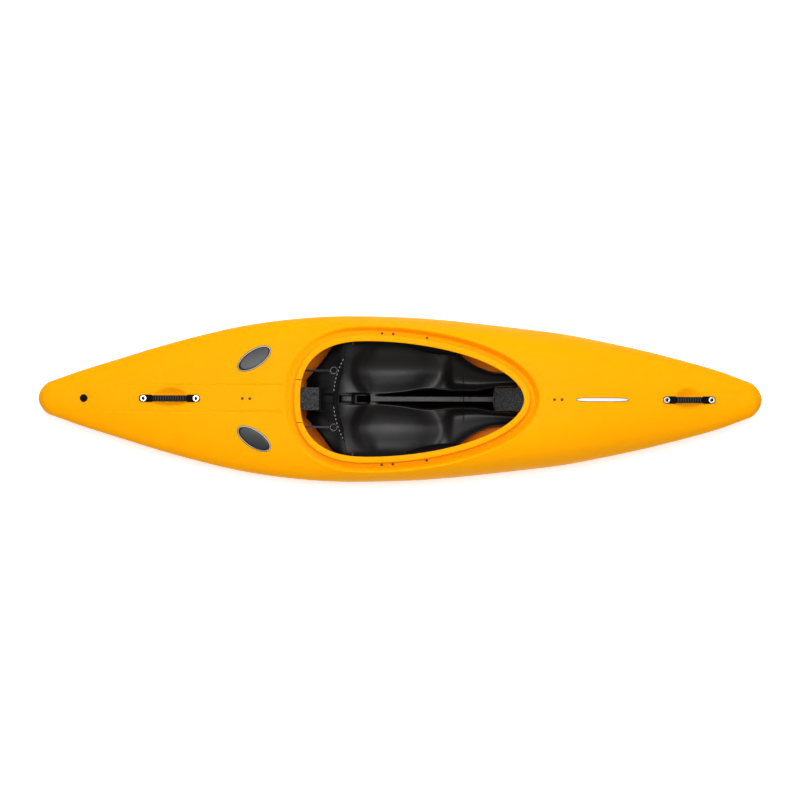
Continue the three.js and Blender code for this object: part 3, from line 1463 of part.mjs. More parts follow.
function footPedal() {
  const gap = CARRIAGE_CLEARANCE;
  const { tall, thick } = carriageSize();
  const outer = block(CARRIAGE_LENGTH, thick, tall, 0, 0, 0);
  const run = CARRIAGE_LENGTH + CUT_OVERRUN;
  const channel = block(run, RAIL_THICKNESS + 2 * gap, RAIL_HEIGHT + 2 * gap, 0, 0, 0);
  const mouth = block(run, thick, RAIL_HEIGHT - 2 * CARRIAGE_LIP, 0, thick / 2, 0);
  const inner = -thick / 2;
  const middle = inner - PEDAL_WIDTH / 2 + CARRIAGE_WALL / 2;
  const face = block(PEDAL_THICKNESS, PEDAL_WIDTH, PEDAL_HEIGHT, 0, middle, 0);
  const ribs = Array.from({ length: PEDAL_RIB_COUNT }, (_, i) => {
    const z = PEDAL_HEIGHT * ((i + 1) / (PEDAL_RIB_COUNT + 1) - 1 / 2);
    const x = -PEDAL_THICKNESS / 2 - PEDAL_RIB_DEPTH / 2;
    return block(
      PEDAL_RIB_DEPTH + PEDAL_THICKNESS / 2,
      PEDAL_WIDTH - 2 * CARRIAGE_WALL,
      PEDAL_RIB_THICKNESS,
      x,
      inner - PEDAL_WIDTH / 2 + CARRIAGE_WALL / 4,
      z,
    );
  });
  const pivot = leverPivot();
  const cheek = block(
    CARRIAGE_LENGTH / 2,
    PEDAL_CHEEK_THICKNESS,
    2 * LEVER_BARREL_RADIUS + CARRIAGE_WALL,
    -CARRIAGE_LENGTH / 4,
    pivot.y - LEVER_WIDTH / 2 - LEVER_CLEARANCE - PEDAL_CHEEK_THICKNESS / 2,
    0,
  );
  return join(cut(join(outer, [face, ...ribs]), [channel, mouth]), [cheek]);
}

function lockLever() {
  const pivot = leverPivot();
  const barrel = turned(
    [
      [0, -LEVER_WIDTH / 2],
      [LEVER_BARREL_RADIUS, -LEVER_WIDTH / 2],
      [LEVER_BARREL_RADIUS, LEVER_WIDTH / 2],
      [0, LEVER_WIDTH / 2],
    ],
    ROUND_STEPS / 2,
  )
    .rotateX(Math.PI / 2)
    .translate(pivot.x, pivot.y, 0);
  const arm = block(LEVER_LENGTH, LEVER_WIDTH, LEVER_THICKNESS, pivot.x - LEVER_LENGTH / 2, pivot.y, 0);
  return join(barrel, [arm]);
}

// The finished shell

function hullShell() {
  const holes = Object.values(smallScrewFrames()).map(smallScrewHole);
  const strapHoles = [BOW_HANDLE, STERN_HANDLE].flatMap((handle) =>
    [-1, 1].map((end) => throughHole(handleScrewFrame(handle, end), HANDLE_SCREW_RADIUS)),
  );
  const boltHoles = Object.values(SIDES).flatMap((side) =>
    Object.values(railBoltPlaces()).map((along) => fromRail(railBoltHole(along), side)),
  );
  const lines = Object.values(SIDES).map(deckLineTool);
  const welled = withWell(withWell(hullSkin(), BOW_WELL), STERN_WELL);
  return cut(welled, [...holes, ...strapHoles, ...boltHoles, ...lines, ...drainTools()]);
}

const kayak = new THREE.Group();

function addPart(name, geometry, look) {
  const mesh = new THREE.Mesh(geometry, new THREE.MeshStandardMaterial(MATERIALS[look]));
  mesh.name = name;
  kayak.add(mesh);
}

addPart("hull_shell", hullShell(), "shell");
addPart("seat_pan", seatPan(), "seat");
addPart("front_pillar", frontPillar(), "foam");
addPart("rear_pillar", rearPillar(), "foam");
addPart("pillar_bracket", pillarBracket(), "black");
addPart("backband_shell", backbandShell(), "black");
addPart("backband_pad", backbandPad(), "fabric");
addPart("drain_bush", drainBush(), "black");
addPart("drain_plug", drainPlug(), "rubber");
for (const [name, frame] of Object.entries(smallScrewFrames())) {
  addPart(name, smallScrew(frame), "steel");
}
for (const [end, handle] of Object.entries({ bow: BOW_HANDLE, stern: STERN_HANDLE })) {
  addPart(`${end}_handle_strap`, handleStrap(handle), "webbing");
  addPart(`${end}_handle_grip`, handleGrip(handle), "rubber");
  for (const [place, direction] of Object.entries({ rear: -1, front: 1 })) {
    const { place: seat, up } = handleScrewFrame(handle, direction);
    const washerSeat = seat.clone().addScaledVector(up, SEAT_GAP);
    const screwSeat = washerSeat.clone().addScaledVector(up, WASHER_THICKNESS + SEAT_GAP);
    const head = HANDLE_SCREW_HEAD_RADIUS;
    const fastener = screw(head, SCREW_HEAD_HEIGHT, HANDLE_SCREW_RADIUS, HANDLE_SCREW_LENGTH);
    addPart(`${end}_handle_washer_${place}`, placed(washer(), washerSeat, up), "steel");
    addPart(`${end}_handle_screw_${place}`, placed(fastener, screwSeat, up), "steel");
  }
}
for (const [sideName, side] of Object.entries(SIDES)) {
  addPart(`backband_strap_${sideName}`, bandSideStrap(side), "webbing");
  addPart(`backband_screw_${sideName}`, anchorScrew(side), "steel");
  addPart(`backband_ring_${sideName}`, bandRing(side), "steel");
  addPart(`rear_strap_${sideName}`, rearStrap(side), "strap");
  addPart(`thigh_brace_${sideName}`, thighBrace(side), "black");
  addPart(`foot_rail_${sideName}`, fromRail(footRail(), side), "aluminium");
  for (const [end, along] of Object.entries(railBoltPlaces())) {
    addPart(`rail_bolt_${sideName}_${end}`, fromRail(railBolt(along), side), "steel");
  }
  addPart(`foot_pedal_${sideName}`, fromRail(footPedal(), side), "black");
  addPart(`pedal_lever_${sideName}`, fromRail(lockLever(), side), "rubber");
}

export default kayak;
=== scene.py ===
"""Whitewater kayak: the finished pieces and the studio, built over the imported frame. Lengths are in
millimetres until a mesh is made, and the frame has +X at the bow, +Y at the left side and +Z up."""

import math

import bmesh
import bpy
import numpy as np
from bpy.props import FloatProperty, FloatVectorProperty, IntProperty, PointerProperty
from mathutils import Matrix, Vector


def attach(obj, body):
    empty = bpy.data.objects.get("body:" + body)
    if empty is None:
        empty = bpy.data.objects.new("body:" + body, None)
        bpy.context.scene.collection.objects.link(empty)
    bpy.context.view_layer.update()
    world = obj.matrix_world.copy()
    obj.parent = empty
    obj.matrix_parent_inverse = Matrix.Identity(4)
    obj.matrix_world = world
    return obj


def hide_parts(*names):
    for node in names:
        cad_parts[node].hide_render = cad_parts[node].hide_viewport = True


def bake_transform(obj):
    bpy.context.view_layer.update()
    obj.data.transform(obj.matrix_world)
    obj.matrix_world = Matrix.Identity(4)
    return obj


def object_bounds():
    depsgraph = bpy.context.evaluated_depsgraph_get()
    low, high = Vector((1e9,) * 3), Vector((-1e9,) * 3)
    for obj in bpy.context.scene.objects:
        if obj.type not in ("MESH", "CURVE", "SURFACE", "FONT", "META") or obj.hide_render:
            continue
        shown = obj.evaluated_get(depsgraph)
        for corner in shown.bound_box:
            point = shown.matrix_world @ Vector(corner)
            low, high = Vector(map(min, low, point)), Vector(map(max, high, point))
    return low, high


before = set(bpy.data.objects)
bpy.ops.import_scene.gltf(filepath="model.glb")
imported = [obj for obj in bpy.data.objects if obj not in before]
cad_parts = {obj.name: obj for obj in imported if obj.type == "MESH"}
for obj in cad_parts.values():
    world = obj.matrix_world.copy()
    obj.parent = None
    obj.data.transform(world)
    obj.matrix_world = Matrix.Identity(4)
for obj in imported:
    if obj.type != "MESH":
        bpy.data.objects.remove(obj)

bl_info = {
    "name": "Whitewater kayak",
    "version": (1, 0, 0),
    "blender": (4, 5, 0),
    "location": "View3D > Sidebar > Kayak",
    "description": "Builds a whitewater kayak's hull, outfitting and fittings over its frame",
    "category": "Add Mesh",
}

CAD_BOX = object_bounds()
MM = 0.001
LENGTH = (CAD_BOX[1] - CAD_BOX[0]).x / MM
BOW = LENGTH / 2
BEAM = 624.0
WALL = 6.0
NOSE = 46.0
SHEER, SHEER_BOW, SHEER_STERN = 160.0, 188.0, 146.0
ROCKER_BOW, ROCKER_BOW_FROM, ROCKER_STERN, ROCKER_STERN_FROM, ROCKER_POWER = 132, 330, 92, 460, 2.1
DECK_TOP = 330
FLAT_SHARE, BILGE_POWER = 0.48, 2.4

BEAM_SHARES = [
    (0, 0.155), (0.03, 0.243), (0.058, 0.33), (0.113, 0.48), (0.169, 0.63), (0.224, 0.76), (0.279, 0.87),
    (0.335, 0.945), (0.39, 0.988), (0.43, 1), (0.5, 0.988), (0.556, 0.958), (0.611, 0.91), (0.667, 0.855),
    (0.722, 0.795), (0.777, 0.705), (0.833, 0.6), (0.888, 0.48), (0.943, 0.343), (0.971, 0.253), (1, 0.16),
]
DECK_SHARES = [
    (0, 0.545), (0.08, 0.6), (0.18, 0.665), (0.28, 0.71), (0.36, 0.735), (0.45, 0.93), (0.56, 1), (0.68, 1),
    (0.76, 0.955), (0.85, 0.85), (0.93, 0.745), (1, 0.68),
]
COCKPIT_REAR, COCKPIT_LENGTH, COCKPIT_WIDTH, WIDEST = -375.0, 840.0, 434.0, 0.305
REAR_POWER, FRONT_POWER = 2.5, 1.9
LEDGE_HEIGHTS = (232.0, 302.0)
COAMING_HEIGHT, LIP_WIDTH, LIP_THICKNESS, LIP_ROUND = 30.0, 23.0, 9.0, 3.0
MOAT_FLOOR, MOAT = 38.0, 62.0

# Each well: centre, half length, half width, depth
WELLS = [(1082.0, 48.0, 43.0, 26.0), (-863.0, 60.0, 41.0, 28.0)]
WELL_REACH = 1.12
WELL_RIGHT, WELL_LEFT = 0.42, 0.85
DRAIN, DISH_RADIUS, DISH_DEPTH = -1189.0, 37.0, 2.6
DRAIN_HOLE, DRAIN_CUT = 12.4, 17.4
LINE_OFFSET, LINE_FRONT, LINE_REAR = 50.0, -446.0, -1150.0
LINE_WIDTHS, LINE_DEPTHS = (2.0, 4.6), (1.7, 4.4)
SCREW_OFFSET = 31.0
SEAT_SCREWS = {"rear": -69.0, "front": -28.0}
BRACE_SCREW = 96.0
BOW_SCREWS = {"rear": 579.0, "front": 607.0}
STERN_SCREWS = {"rear": -592.0, "front": -564.0}
SIDES = {"left": 1, "right": -1}

# Arithmetic


def curve_through(pairs):
    """A smooth curve through pairs of places and values, which never overshoots them."""
    at, value = np.array(pairs, float).T
    slopes = np.diff(value) / np.diff(at)
    before, after = np.concatenate([slopes[:1], slopes]), np.concatenate([slopes, slopes[-1:]])
    same = before * after > 0
    tangents = np.where(same, 2 * before * after / np.where(same, before + after, 1), 0)

    def curve(place):
        place = np.clip(place, at[0], at[-1])
        i = np.clip(np.searchsorted(at, place) - 1, 0, len(at) - 2)
        span = at[i + 1] - at[i]
        t = (place - at[i]) / span
        rise = value[i + 1] - value[i]
        start, end = tangents[i] * span, tangents[i + 1] * span
        return value[i] + t * start + t**2 * (3 * rise - 2 * start - end) + t**3 * (start + end - 2 * rise)

    return curve


def lerp(a, b, share):
    return a + (b - a) * share


def smooth(x, low, high):
    """0 below low, 1 above high, and a smooth step between them."""
    t = np.clip((x - low) / (high - low), 0, 1)
    return t * t * (3 - 2 * t)


def powered(value, power):
    """A power of a value's size, with the value's own sign."""
    return np.sign(value) * np.abs(value) ** power


# Lines of the hull

beam_share = curve_through(BEAM_SHARES)
deck_share = curve_through(DECK_SHARES)


def nose(x, inset):
    past = np.abs(x) - (BOW - NOSE)
    return np.where(past <= 0, 1, np.sqrt(np.maximum(0, 1 - (np.maximum(past, 0) / (NOSE - inset)) ** 2)))


def half_beam(x, inset):
    return (BEAM / 2 * beam_share((x + BOW) / LENGTH) - inset) * nose(x, inset)


def sheer_height(x):
    return lerp(SHEER, np.where(x > 0, SHEER_BOW, SHEER_STERN), (x / BOW) ** 2)


def rocker(x):
    bow = np.maximum(0, (x - ROCKER_BOW_FROM) / (BOW - ROCKER_BOW_FROM))
    stern = np.maximum(0, (-ROCKER_STERN_FROM - x) / (BOW - ROCKER_STERN_FROM))
    return ROCKER_BOW * bow**ROCKER_POWER + ROCKER_STERN * stern**ROCKER_POWER


def keel_height(x, inset):
    return lerp(sheer_height(x), rocker(x) + inset, nose(x, inset))


def crown_height(x, inset):
    return lerp(sheer_height(x), DECK_TOP * deck_share((x + BOW) / LENGTH) - inset, nose(x, inset))


def deck_height(x, y, inset=0.0):
    power = lerp(2.2, 6.0, (1 - np.clip(x / BOW, -1, 1) ** 2) ** 4)
    across = np.minimum(1, np.abs(y) / np.maximum(half_beam(x, inset), 1e-6))
    return lerp(sheer_height(x), crown_height(x, inset), np.sqrt(1 - across**power))


def ledge_height(x):
    share = np.clip((x - COCKPIT_REAR) / COCKPIT_LENGTH, 0, 1)
    return lerp(*LEDGE_HEIGHTS, share**1.3)


def half_breadth(x, z, inset):
    """Half the hull's width at a height between the flat bottom and the sheer."""
    beam = half_beam(x, inset)
    down = (sheer_height(x) - z) / (sheer_height(x) - keel_height(x, inset))
    return beam * lerp(FLAT_SHARE, 1, (1 - np.maximum(0, down) ** BILGE_POWER) ** (1 / BILGE_POWER))


def coaming_point(angle, offset):
    """Points of the cockpit opening's edge, moved outwards in plan."""
    c, s = np.cos(angle), np.sin(angle)
    power = np.where(c > 0, FRONT_POWER, REAR_POWER)
    reach = COCKPIT_LENGTH * np.where(c > 0, 1 - WIDEST, WIDEST)
    half = COCKPIT_WIDTH / 2
    along, across = powered(c, 2 / power), powered(s, 2 / power)
    nx = powered(along, power - 1) / reach
    ny = powered(across, power - 1) / half
    size = np.hypot(nx, ny)
    widest = COCKPIT_REAR + COCKPIT_LENGTH * WIDEST
    return widest + reach * along + nx / size * offset, half * across + ny / size * offset


def coaming_angle(x):
    """The left side's angle at which the opening's edge passes a place along the boat."""
    share = (x - COCKPIT_REAR) / COCKPIT_LENGTH
    if share > WIDEST:
        return math.acos(((share - WIDEST) / (1 - WIDEST)) ** (FRONT_POWER / 2))
    return math.acos(-(((WIDEST - share) / WIDEST) ** (REAR_POWER / 2)))


def crown_frame(x):
    slope = float(deck_height(x + WALL, 0.0) - deck_height(x - WALL, 0.0)) / (2 * WALL)
    return Vector((x, 0, float(deck_height(x, 0.0)))), Vector((-slope, 0, 1)).normalized()


def ledge_frame(edge_x, side):
    slope = float(ledge_height(edge_x + WALL) - ledge_height(edge_x - WALL)) / (2 * WALL)
    x, y = coaming_point(coaming_angle(edge_x), SCREW_OFFSET)
    return Vector((x, side * y, float(ledge_height(edge_x)))), Vector((-slope, 0, 1)).normalized()


def small_screws():
    """Every small screw of the hull: its name, and the place and direction that it stands on."""
    places = {}
    for side_name, side in SIDES.items():
        for end, x in SEAT_SCREWS.items():
            places[f"seat_screw_{side_name}_{end}"] = ledge_frame(x, side)
        places[f"brace_screw_{side_name}"] = ledge_frame(BRACE_SCREW, side)
    for end, x in BOW_SCREWS.items():
        places[f"front_pillar_screw_{end}"] = crown_frame(x)
    for end, x in STERN_SCREWS.items():
        places[f"rear_pillar_screw_{end}"] = crown_frame(x)
    return places


# The rails' own frame: +X along the rail, +Y outwards to the hull

RAIL_HEIGHT, RAIL_REAR, RAIL_LENGTH = 138.0, 560.0, 370.0
RAIL_INBOARD, RAIL_BOLT = 24.5, 159.0


def rail_frame():
    places = (RAIL_REAR, RAIL_REAR + RAIL_LENGTH)
    ends = [float(half_breadth(x, RAIL_HEIGHT, WALL)) - RAIL_INBOARD for x in places]
    return (RAIL_REAR + RAIL_LENGTH / 2, sum(ends) / 2), math.atan2(ends[1] - ends[0], RAIL_LENGTH)


def from_rail(point, side):
    (mx, my), turn = rail_frame()
    x, y, z = point
    out_x = mx + x * math.cos(turn) - y * math.sin(turn)
    out_y = my + x * math.sin(turn) + y * math.cos(turn)
    return Vector((out_x, side * out_y, RAIL_HEIGHT + z))


def hull_from_rail(along, inset):
    (mx, my), turn = rail_frame()
    out = 0.0
    for _ in range(6):
        x = mx + along * math.cos(turn) - out * math.sin(turn)
        y = my + along * math.sin(turn)
        out = (float(half_breadth(x, RAIL_HEIGHT, inset)) - y) / math.cos(turn)
    return out


def rail_bolts(side):
    """The place on the hull's outside, and the outward direction, of a rail's two bolts."""
    _, turn = rail_frame()
    outward = Vector((-math.sin(turn), side * math.cos(turn), 0))
    places = [(along, hull_from_rail(along, 0.0), 0) for along in (-RAIL_BOLT, RAIL_BOLT)]
    return [(from_rail(place, side), outward) for place in places]


# Meshes

MERGE = 1e-5


def linked(name, data):
    """A new object of the scene, at the origin."""
    piece = bpy.data.objects.new(name, data)
    bpy.context.scene.collection.objects.link(piece)
    return piece


def new_piece(name, points, faces, material):
    """A mesh piece from points in millimetres."""
    mesh = bpy.data.meshes.new(name)
    mesh.from_pydata([tuple(p) for p in np.asarray(points, float) * MM], [], faces)
    mesh.materials.append(material)
    mesh.validate()
    mesh.shade_smooth()
    return linked(name, mesh)


def grid_faces(rows, columns, start=0):
    corners = [start + i * columns + j for i in range(rows - 1) for j in range(columns - 1)]
    return [(at, at + columns, at + columns + 1, at + 1) for at in corners]


def ring_faces(rings, around, joined=False):
    """Faces between rings of points; joined also closes the last ring to the first."""
    return [
        (i * around + k, i * around + n, after * around + n, after * around + k)
        for i, after in zip(range(rings), [*range(1, rings), 0] if joined else range(1, rings))
        for k, n in zip(range(around), [*range(1, around), 0])
    ]


def tidy(piece, outward=True, sharp=None):
    """Merges doubles, turns the faces outwards, and marks edges sharper than an angle."""
    bm = bmesh.new()
    bm.from_mesh(piece.data)
    bmesh.ops.remove_doubles(bm, verts=bm.verts, dist=MERGE)
    bmesh.ops.dissolve_degenerate(bm, dist=MERGE / 10, edges=bm.edges)
    if outward:
        bmesh.ops.recalc_face_normals(bm, faces=bm.faces)
    bm.to_mesh(piece.data)
    bm.free()
    piece.data.shade_smooth()
    if sharp:
        piece.data.set_sharp_from_angle(angle=math.radians(sharp))
    return piece


def applied(piece):
    """Turns a piece's modifiers into its mesh."""
    graph = bpy.context.evaluated_depsgraph_get()
    mesh = bpy.data.meshes.new_from_object(piece.evaluated_get(graph))
    mesh.name = piece.name
    piece.modifiers.clear()
    piece.data = mesh
    return piece


def bevelled(piece, width, segments=3, angle=35):
    bevel = piece.modifiers.new("edges", "BEVEL")
    bevel.width = width * MM
    bevel.segments = segments
    bevel.limit_method = "ANGLE"
    bevel.angle_limit = math.radians(angle)
    bevel.harden_normals = False
    applied(piece)
    piece.data.shade_smooth()
    piece.data.set_sharp_from_angle(angle=math.radians(50))
    return piece


def finer(piece):
    """One level of subdivision, the same on screen and in the picture, turned into the mesh."""
    subdivision = piece.modifiers.new("finer", "SUBSURF")
    subdivision.levels = subdivision.render_levels = 1
    applied(piece)
    piece.data.shade_smooth()
    return piece


def copy_of_node(name, node, material):
    """A merged copy of a CAD node's mesh."""
    piece = linked(name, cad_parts[node].data.copy())
    piece.data.materials.clear()
    piece.data.materials.append(material)
    bm = bmesh.new()
    bm.from_mesh(piece.data)
    bmesh.ops.remove_doubles(bm, verts=bm.verts, dist=2e-6)
    bmesh.ops.dissolve_limit(
        bm, angle_limit=math.radians(0.5), verts=bm.verts, edges=bm.edges, delimit={"NORMAL"}
    )
    bm.to_mesh(piece.data)
    bm.free()
    return piece


def turned(outline, steps=48):
    """Points and faces of a round piece about +Z, from its outline as pairs of radius and height."""
    turns = [2 * math.pi * k / steps for k in range(steps)]
    points = [(r * math.cos(a), r * math.sin(a), height) for r, height in outline for a in turns]
    return np.array(points), ring_faces(len(outline), steps)


def stood(points, place, up):
    """Points made about +Z, moved onto a place with +Z along a direction."""
    turn = Vector((0, 0, 1)).rotation_difference(up).to_matrix()
    return np.asarray(points) @ np.array(turn).T + np.array(place)


def strip(name, path, across, width, thickness, material):
    """A flat strap along a path of points, with a direction across it at each point, rounded at its edges."""
    path = np.asarray(path, float)
    across = np.asarray(across, float)
    across /= np.linalg.norm(across, axis=1)[:, None]
    along = np.gradient(path, axis=0)
    along /= np.linalg.norm(along, axis=1)[:, None]
    face = np.cross(along, across)
    widths = np.broadcast_to(width, len(path))
    turns = np.linspace(0, 2 * math.pi, 24, endpoint=False)
    section = [(powered(math.cos(t), 0.35), powered(math.sin(t), 0.7)) for t in turns]
    points = [
        path[i] + across[i] * widths[i] / 2 * c + face[i] * thickness / 2 * s
        for i in range(len(path))
        for c, s in section
    ]
    n = len(section)
    faces = ring_faces(len(path), n)
    faces.append(tuple(range(n))[::-1])
    faces.append(tuple((len(path) - 1) * n + k for k in range(n)))
    piece = new_piece(name, points, faces, material)
    lengths = np.concatenate([[0], np.cumsum(np.linalg.norm(np.diff(path, axis=0), axis=1))])
    layer = piece.data.uv_layers.new(name="UVMap")
    for loop in piece.data.loops:
        i, k = divmod(loop.vertex_index, n)
        layer.data[loop.index].uv = (section[k][0] * widths[i] / 2 * MM, lengths[i] * MM)
    tidy(piece, sharp=60)
    return piece


# Node helpers


class Nodes:
    """A node tree with short calls for adding and joining nodes."""

    def __init__(self, tree):
        self.tree = tree

    def add(self, kind, inputs=None, **settings):
        node = self.tree.nodes.new(kind)
        for name, value in settings.items():
            setattr(node, name, value)
        for name, value in (inputs or {}).items():
            self.set(node, name, value)
        return node

    def set(self, node, name, value):
        socket = node.inputs[name]
        if isinstance(value, bpy.types.NodeSocket):
            self.tree.links.new(value, socket)
        else:
            socket.default_value = value

    def maths(self, operation, a, b=0.0, c=0.0):
        node = self.add("ShaderNodeMath", operation=operation)
        for i, value in enumerate((a, b, c)):
            self.set(node, i, value)
        return node.outputs[0]

    def ramp(self, value, low, high, to_low=0.0, to_high=1.0):
        node = self.add("ShaderNodeMapRange", {"Value": value, "From Min": low, "From Max": high})
        node.inputs["To Min"].default_value = to_low
        node.inputs["To Max"].default_value = to_high
        return node.outputs[0]

    def mix(self, share, a, b):
        node = self.add("ShaderNodeMix", data_type="RGBA")
        self.set(node, 0, share)
        self.set(node, 6, a)
        self.set(node, 7, b)
        return node.outputs[2]

    def bump(self, shader, height, strength, distance):
        node = self.add("ShaderNodeBump", {"Height": height, "Strength": strength, "Distance": distance})
        self.set(shader, "Normal", node.outputs[0])


def shader_group(name, inputs, outputs):
    """A shader node group with named sockets, and its input and output nodes."""
    tree = bpy.data.node_groups.new(name, "ShaderNodeTree")
    for label, kind, default in inputs:
        socket = tree.interface.new_socket(name=label, in_out="INPUT", socket_type=kind)
        if default is not None:
            socket.default_value = default
    for label, kind in outputs:
        tree.interface.new_socket(name=label, in_out="OUTPUT", socket_type=kind)
    nodes = Nodes(tree)
    return nodes, nodes.add("NodeGroupInput"), nodes.add("NodeGroupOutput")


FLOAT, VECTOR = "NodeSocketFloat", "NodeSocketVector"


def grain_group():
    """Fine moulded grain, with slow waves under it and a mask of cloudy colour."""
    tree = bpy.data.node_groups.get("Moulded grain")
    if tree:
        return tree
    nodes, start, end = shader_group(
        "Moulded grain",
        [("Vector", VECTOR, None), ("Grain per metre", FLOAT, 900.0), ("Waves", FLOAT, 0.4)],
        [("Height", FLOAT), ("Cloud", FLOAT)],
    )
    at = start.outputs["Vector"]
    scale = start.outputs["Grain per metre"]
    fine = nodes.add("ShaderNodeTexNoise", {"Vector": at, "Scale": scale, "Detail": 3.0})
    waves = nodes.add("ShaderNodeTexNoise", {"Vector": at, "Scale": 22.0, "Detail": 2.0})
    cloud = nodes.add("ShaderNodeTexNoise", {"Vector": at, "Scale": 4.5, "Detail": 5.0, "Roughness": 0.6})
    slow = nodes.maths("MULTIPLY", waves.outputs[0], start.outputs["Waves"])
    nodes.set(end, "Height", nodes.maths("ADD", fine.outputs[0], slow))
    nodes.set(end, "Cloud", nodes.ramp(cloud.outputs[0], 0.3, 0.7))
    return nodes.tree


def scuff_group():
    """Thin scratches in two directions and small knocks, as masks from 0 to 1."""
    tree = bpy.data.node_groups.get("Scuffs")
    if tree:
        return tree
    nodes, start, end = shader_group(
        "Scuffs", [("Vector", VECTOR, None), ("Amount", FLOAT, 0.5)], [("Scratches", FLOAT)]
    )
    masks = []
    for angle, stretch in ((0.35, 60.0), (-0.9, 45.0)):
        turn = nodes.add("ShaderNodeMapping", {"Vector": start.outputs["Vector"]})
        turn.inputs["Rotation"].default_value = (0, 0, angle)
        turn.inputs["Scale"].default_value = (3.0, stretch * 3, 3.0)
        noise = nodes.add("ShaderNodeTexNoise", {"Vector": turn.outputs[0], "Scale": 2.0, "Detail": 2.0})
        masks.append(nodes.ramp(noise.outputs[0], 0.66, 0.72))
    both = nodes.maths("MAXIMUM", masks[0], masks[1])
    nodes.set(end, "Scratches", nodes.maths("MULTIPLY", both, start.outputs["Amount"]))
    return nodes.tree


def weave_group():
    """Webbing weave on a strap's own UV: ribs along it, crossed by the weft."""
    tree = bpy.data.node_groups.get("Weave")
    if tree:
        return tree
    nodes, start, end = shader_group(
        "Weave",
        [("Vector", VECTOR, None), ("Threads per metre", FLOAT, 700.0)],
        [("Height", FLOAT), ("Thread", FLOAT)],
    )
    parts = nodes.add("ShaderNodeSeparateXYZ", {"Vector": start.outputs["Vector"]})
    turns = nodes.maths("MULTIPLY", start.outputs["Threads per metre"], 2 * math.pi)
    across = nodes.maths("SINE", nodes.maths("MULTIPLY", parts.outputs[0], turns))
    along = nodes.maths("SINE", nodes.maths("MULTIPLY", parts.outputs[1], turns))
    woven = nodes.maths("MULTIPLY", across, along)
    height = nodes.maths("MULTIPLY_ADD", woven, 0.5, 0.5)
    nodes.set(end, "Height", height)
    nodes.set(end, "Thread", height)
    return nodes.tree


def rgba(colour):
    return (*colour, 1.0)


def start_material(name, colour, roughness, **sockets):
    """A material with its Principled shader, node helper and Object coordinates."""
    material = bpy.data.materials.new(name)
    material.use_nodes = True
    nodes = Nodes(material.node_tree)
    shader = material.node_tree.nodes["Principled BSDF"]
    shader.inputs["Base Color"].default_value = rgba(colour)
    shader.inputs["Roughness"].default_value = roughness
    for label, value in sockets.items():
        shader.inputs[label.replace("_", " ").title().replace("Ior", "IOR")].default_value = value
    where = nodes.add("ShaderNodeTexCoord")
    return material, nodes, shader, where


def moulded(
    name, colour, darker, roughness, grain=900.0, waves=0.4, bump=0.12, depth=0.0002, scuffs=0.3, **sockets
):
    """A moulded plastic or rubber: grain, cloudy colour and light scratches."""
    material = bpy.data.materials.get(name)
    if material:
        return material
    material, nodes, shader, where = start_material(name, colour, roughness, **sockets)
    skin = nodes.add("ShaderNodeGroup", node_tree=grain_group())
    nodes.set(skin, "Vector", where.outputs["Object"])
    skin.inputs["Grain per metre"].default_value = grain
    skin.inputs["Waves"].default_value = waves
    marks = nodes.add("ShaderNodeGroup", node_tree=scuff_group())
    nodes.set(marks, "Vector", where.outputs["Object"])
    marks.inputs["Amount"].default_value = scuffs
    tone = nodes.mix(nodes.maths("MULTIPLY", skin.outputs["Cloud"], 0.5), rgba(colour), rgba(darker))
    nodes.set(shader, "Base Color", tone)
    rough = nodes.ramp(skin.outputs["Cloud"], 0, 1, roughness * 0.92, roughness * 1.1)
    nodes.set(shader, "Roughness", nodes.maths("MULTIPLY_ADD", marks.outputs[0], 0.18, rough))
    relief = nodes.maths("MULTIPLY_ADD", marks.outputs[0], -0.4, skin.outputs["Height"])
    nodes.bump(shader, relief, bump, depth)
    return material


def masked(material, attribute, colour):
    """Lays a colour over a material's own where a point attribute of the mesh says so."""
    nodes = Nodes(material.node_tree)
    shader = material.node_tree.nodes["Principled BSDF"]
    mask = nodes.add("ShaderNodeAttribute", attribute_name=attribute).outputs["Fac"]
    tone = shader.inputs["Base Color"].links[0].from_socket
    nodes.set(shader, "Base Color", nodes.mix(mask, tone, colour))
    return nodes, shader, mask


# Two thin dark lines across the rear of the coaming, in metres
RIM_LINE_SHIFT, RIM_LINE_OFFSET, RIM_LINE_EDGE = 0.0085, 0.081, (0.0009, 0.0017)
RIM_LINE_REAR, RIM_LINE_FRONT, RIM_LINE_LOW = -0.4005, -0.365, 0.2515


def shell_plastic():
    """The shell's rotomoulded plastic, with two thin dark lines across the rear of the coaming, and a painted
    glow on its inside.
    """
    material = bpy.data.materials.get("shell plastic")
    if material:
        return material
    looks = bpy.context.scene.kayak_looks
    material = moulded(
        "shell plastic", looks.shell, looks.shell_shade, looks.shell_roughness, grain=650.0, waves=1.2,
        bump=0.16, depth=0.0005, scuffs=0.12, specular_ior_level=0.02, subsurface_weight=0.3,
        subsurface_scale=0.004,
    )
    nodes = Nodes(material.node_tree)
    shader = material.node_tree.nodes["Principled BSDF"]
    where = next(n for n in material.node_tree.nodes if n.type == "TEX_COORD")
    parts = nodes.add("ShaderNodeSeparateXYZ", {"Vector": where.outputs["Object"]})
    tone = shader.inputs["Base Color"].links[0].from_socket
    across = nodes.maths("ABSOLUTE", nodes.maths("ADD", parts.outputs[1], RIM_LINE_SHIFT))
    side = nodes.maths("ABSOLUTE", nodes.maths("SUBTRACT", across, RIM_LINE_OFFSET))
    line = nodes.ramp(side, *RIM_LINE_EDGE, 1.0, 0.0)
    rear = nodes.maths("LESS_THAN", parts.outputs[0], RIM_LINE_FRONT)
    lip = nodes.maths("GREATER_THAN", parts.outputs[0], RIM_LINE_REAR)
    high = nodes.maths("GREATER_THAN", parts.outputs[2], RIM_LINE_LOW)
    mask = line
    for part in (rear, lip, high):
        mask = nodes.maths("MULTIPLY", mask, part)
    nodes.set(shader, "Base Color", nodes.mix(mask, tone, (0.05, 0.02, 0.0, 1.0)))
    # Painted glow: the shell's inside is painted a redder colour that stands for light shining through the
    # thin plastic
    masked(material, "inside", rgba(looks.shell_inside_glow))
    return material


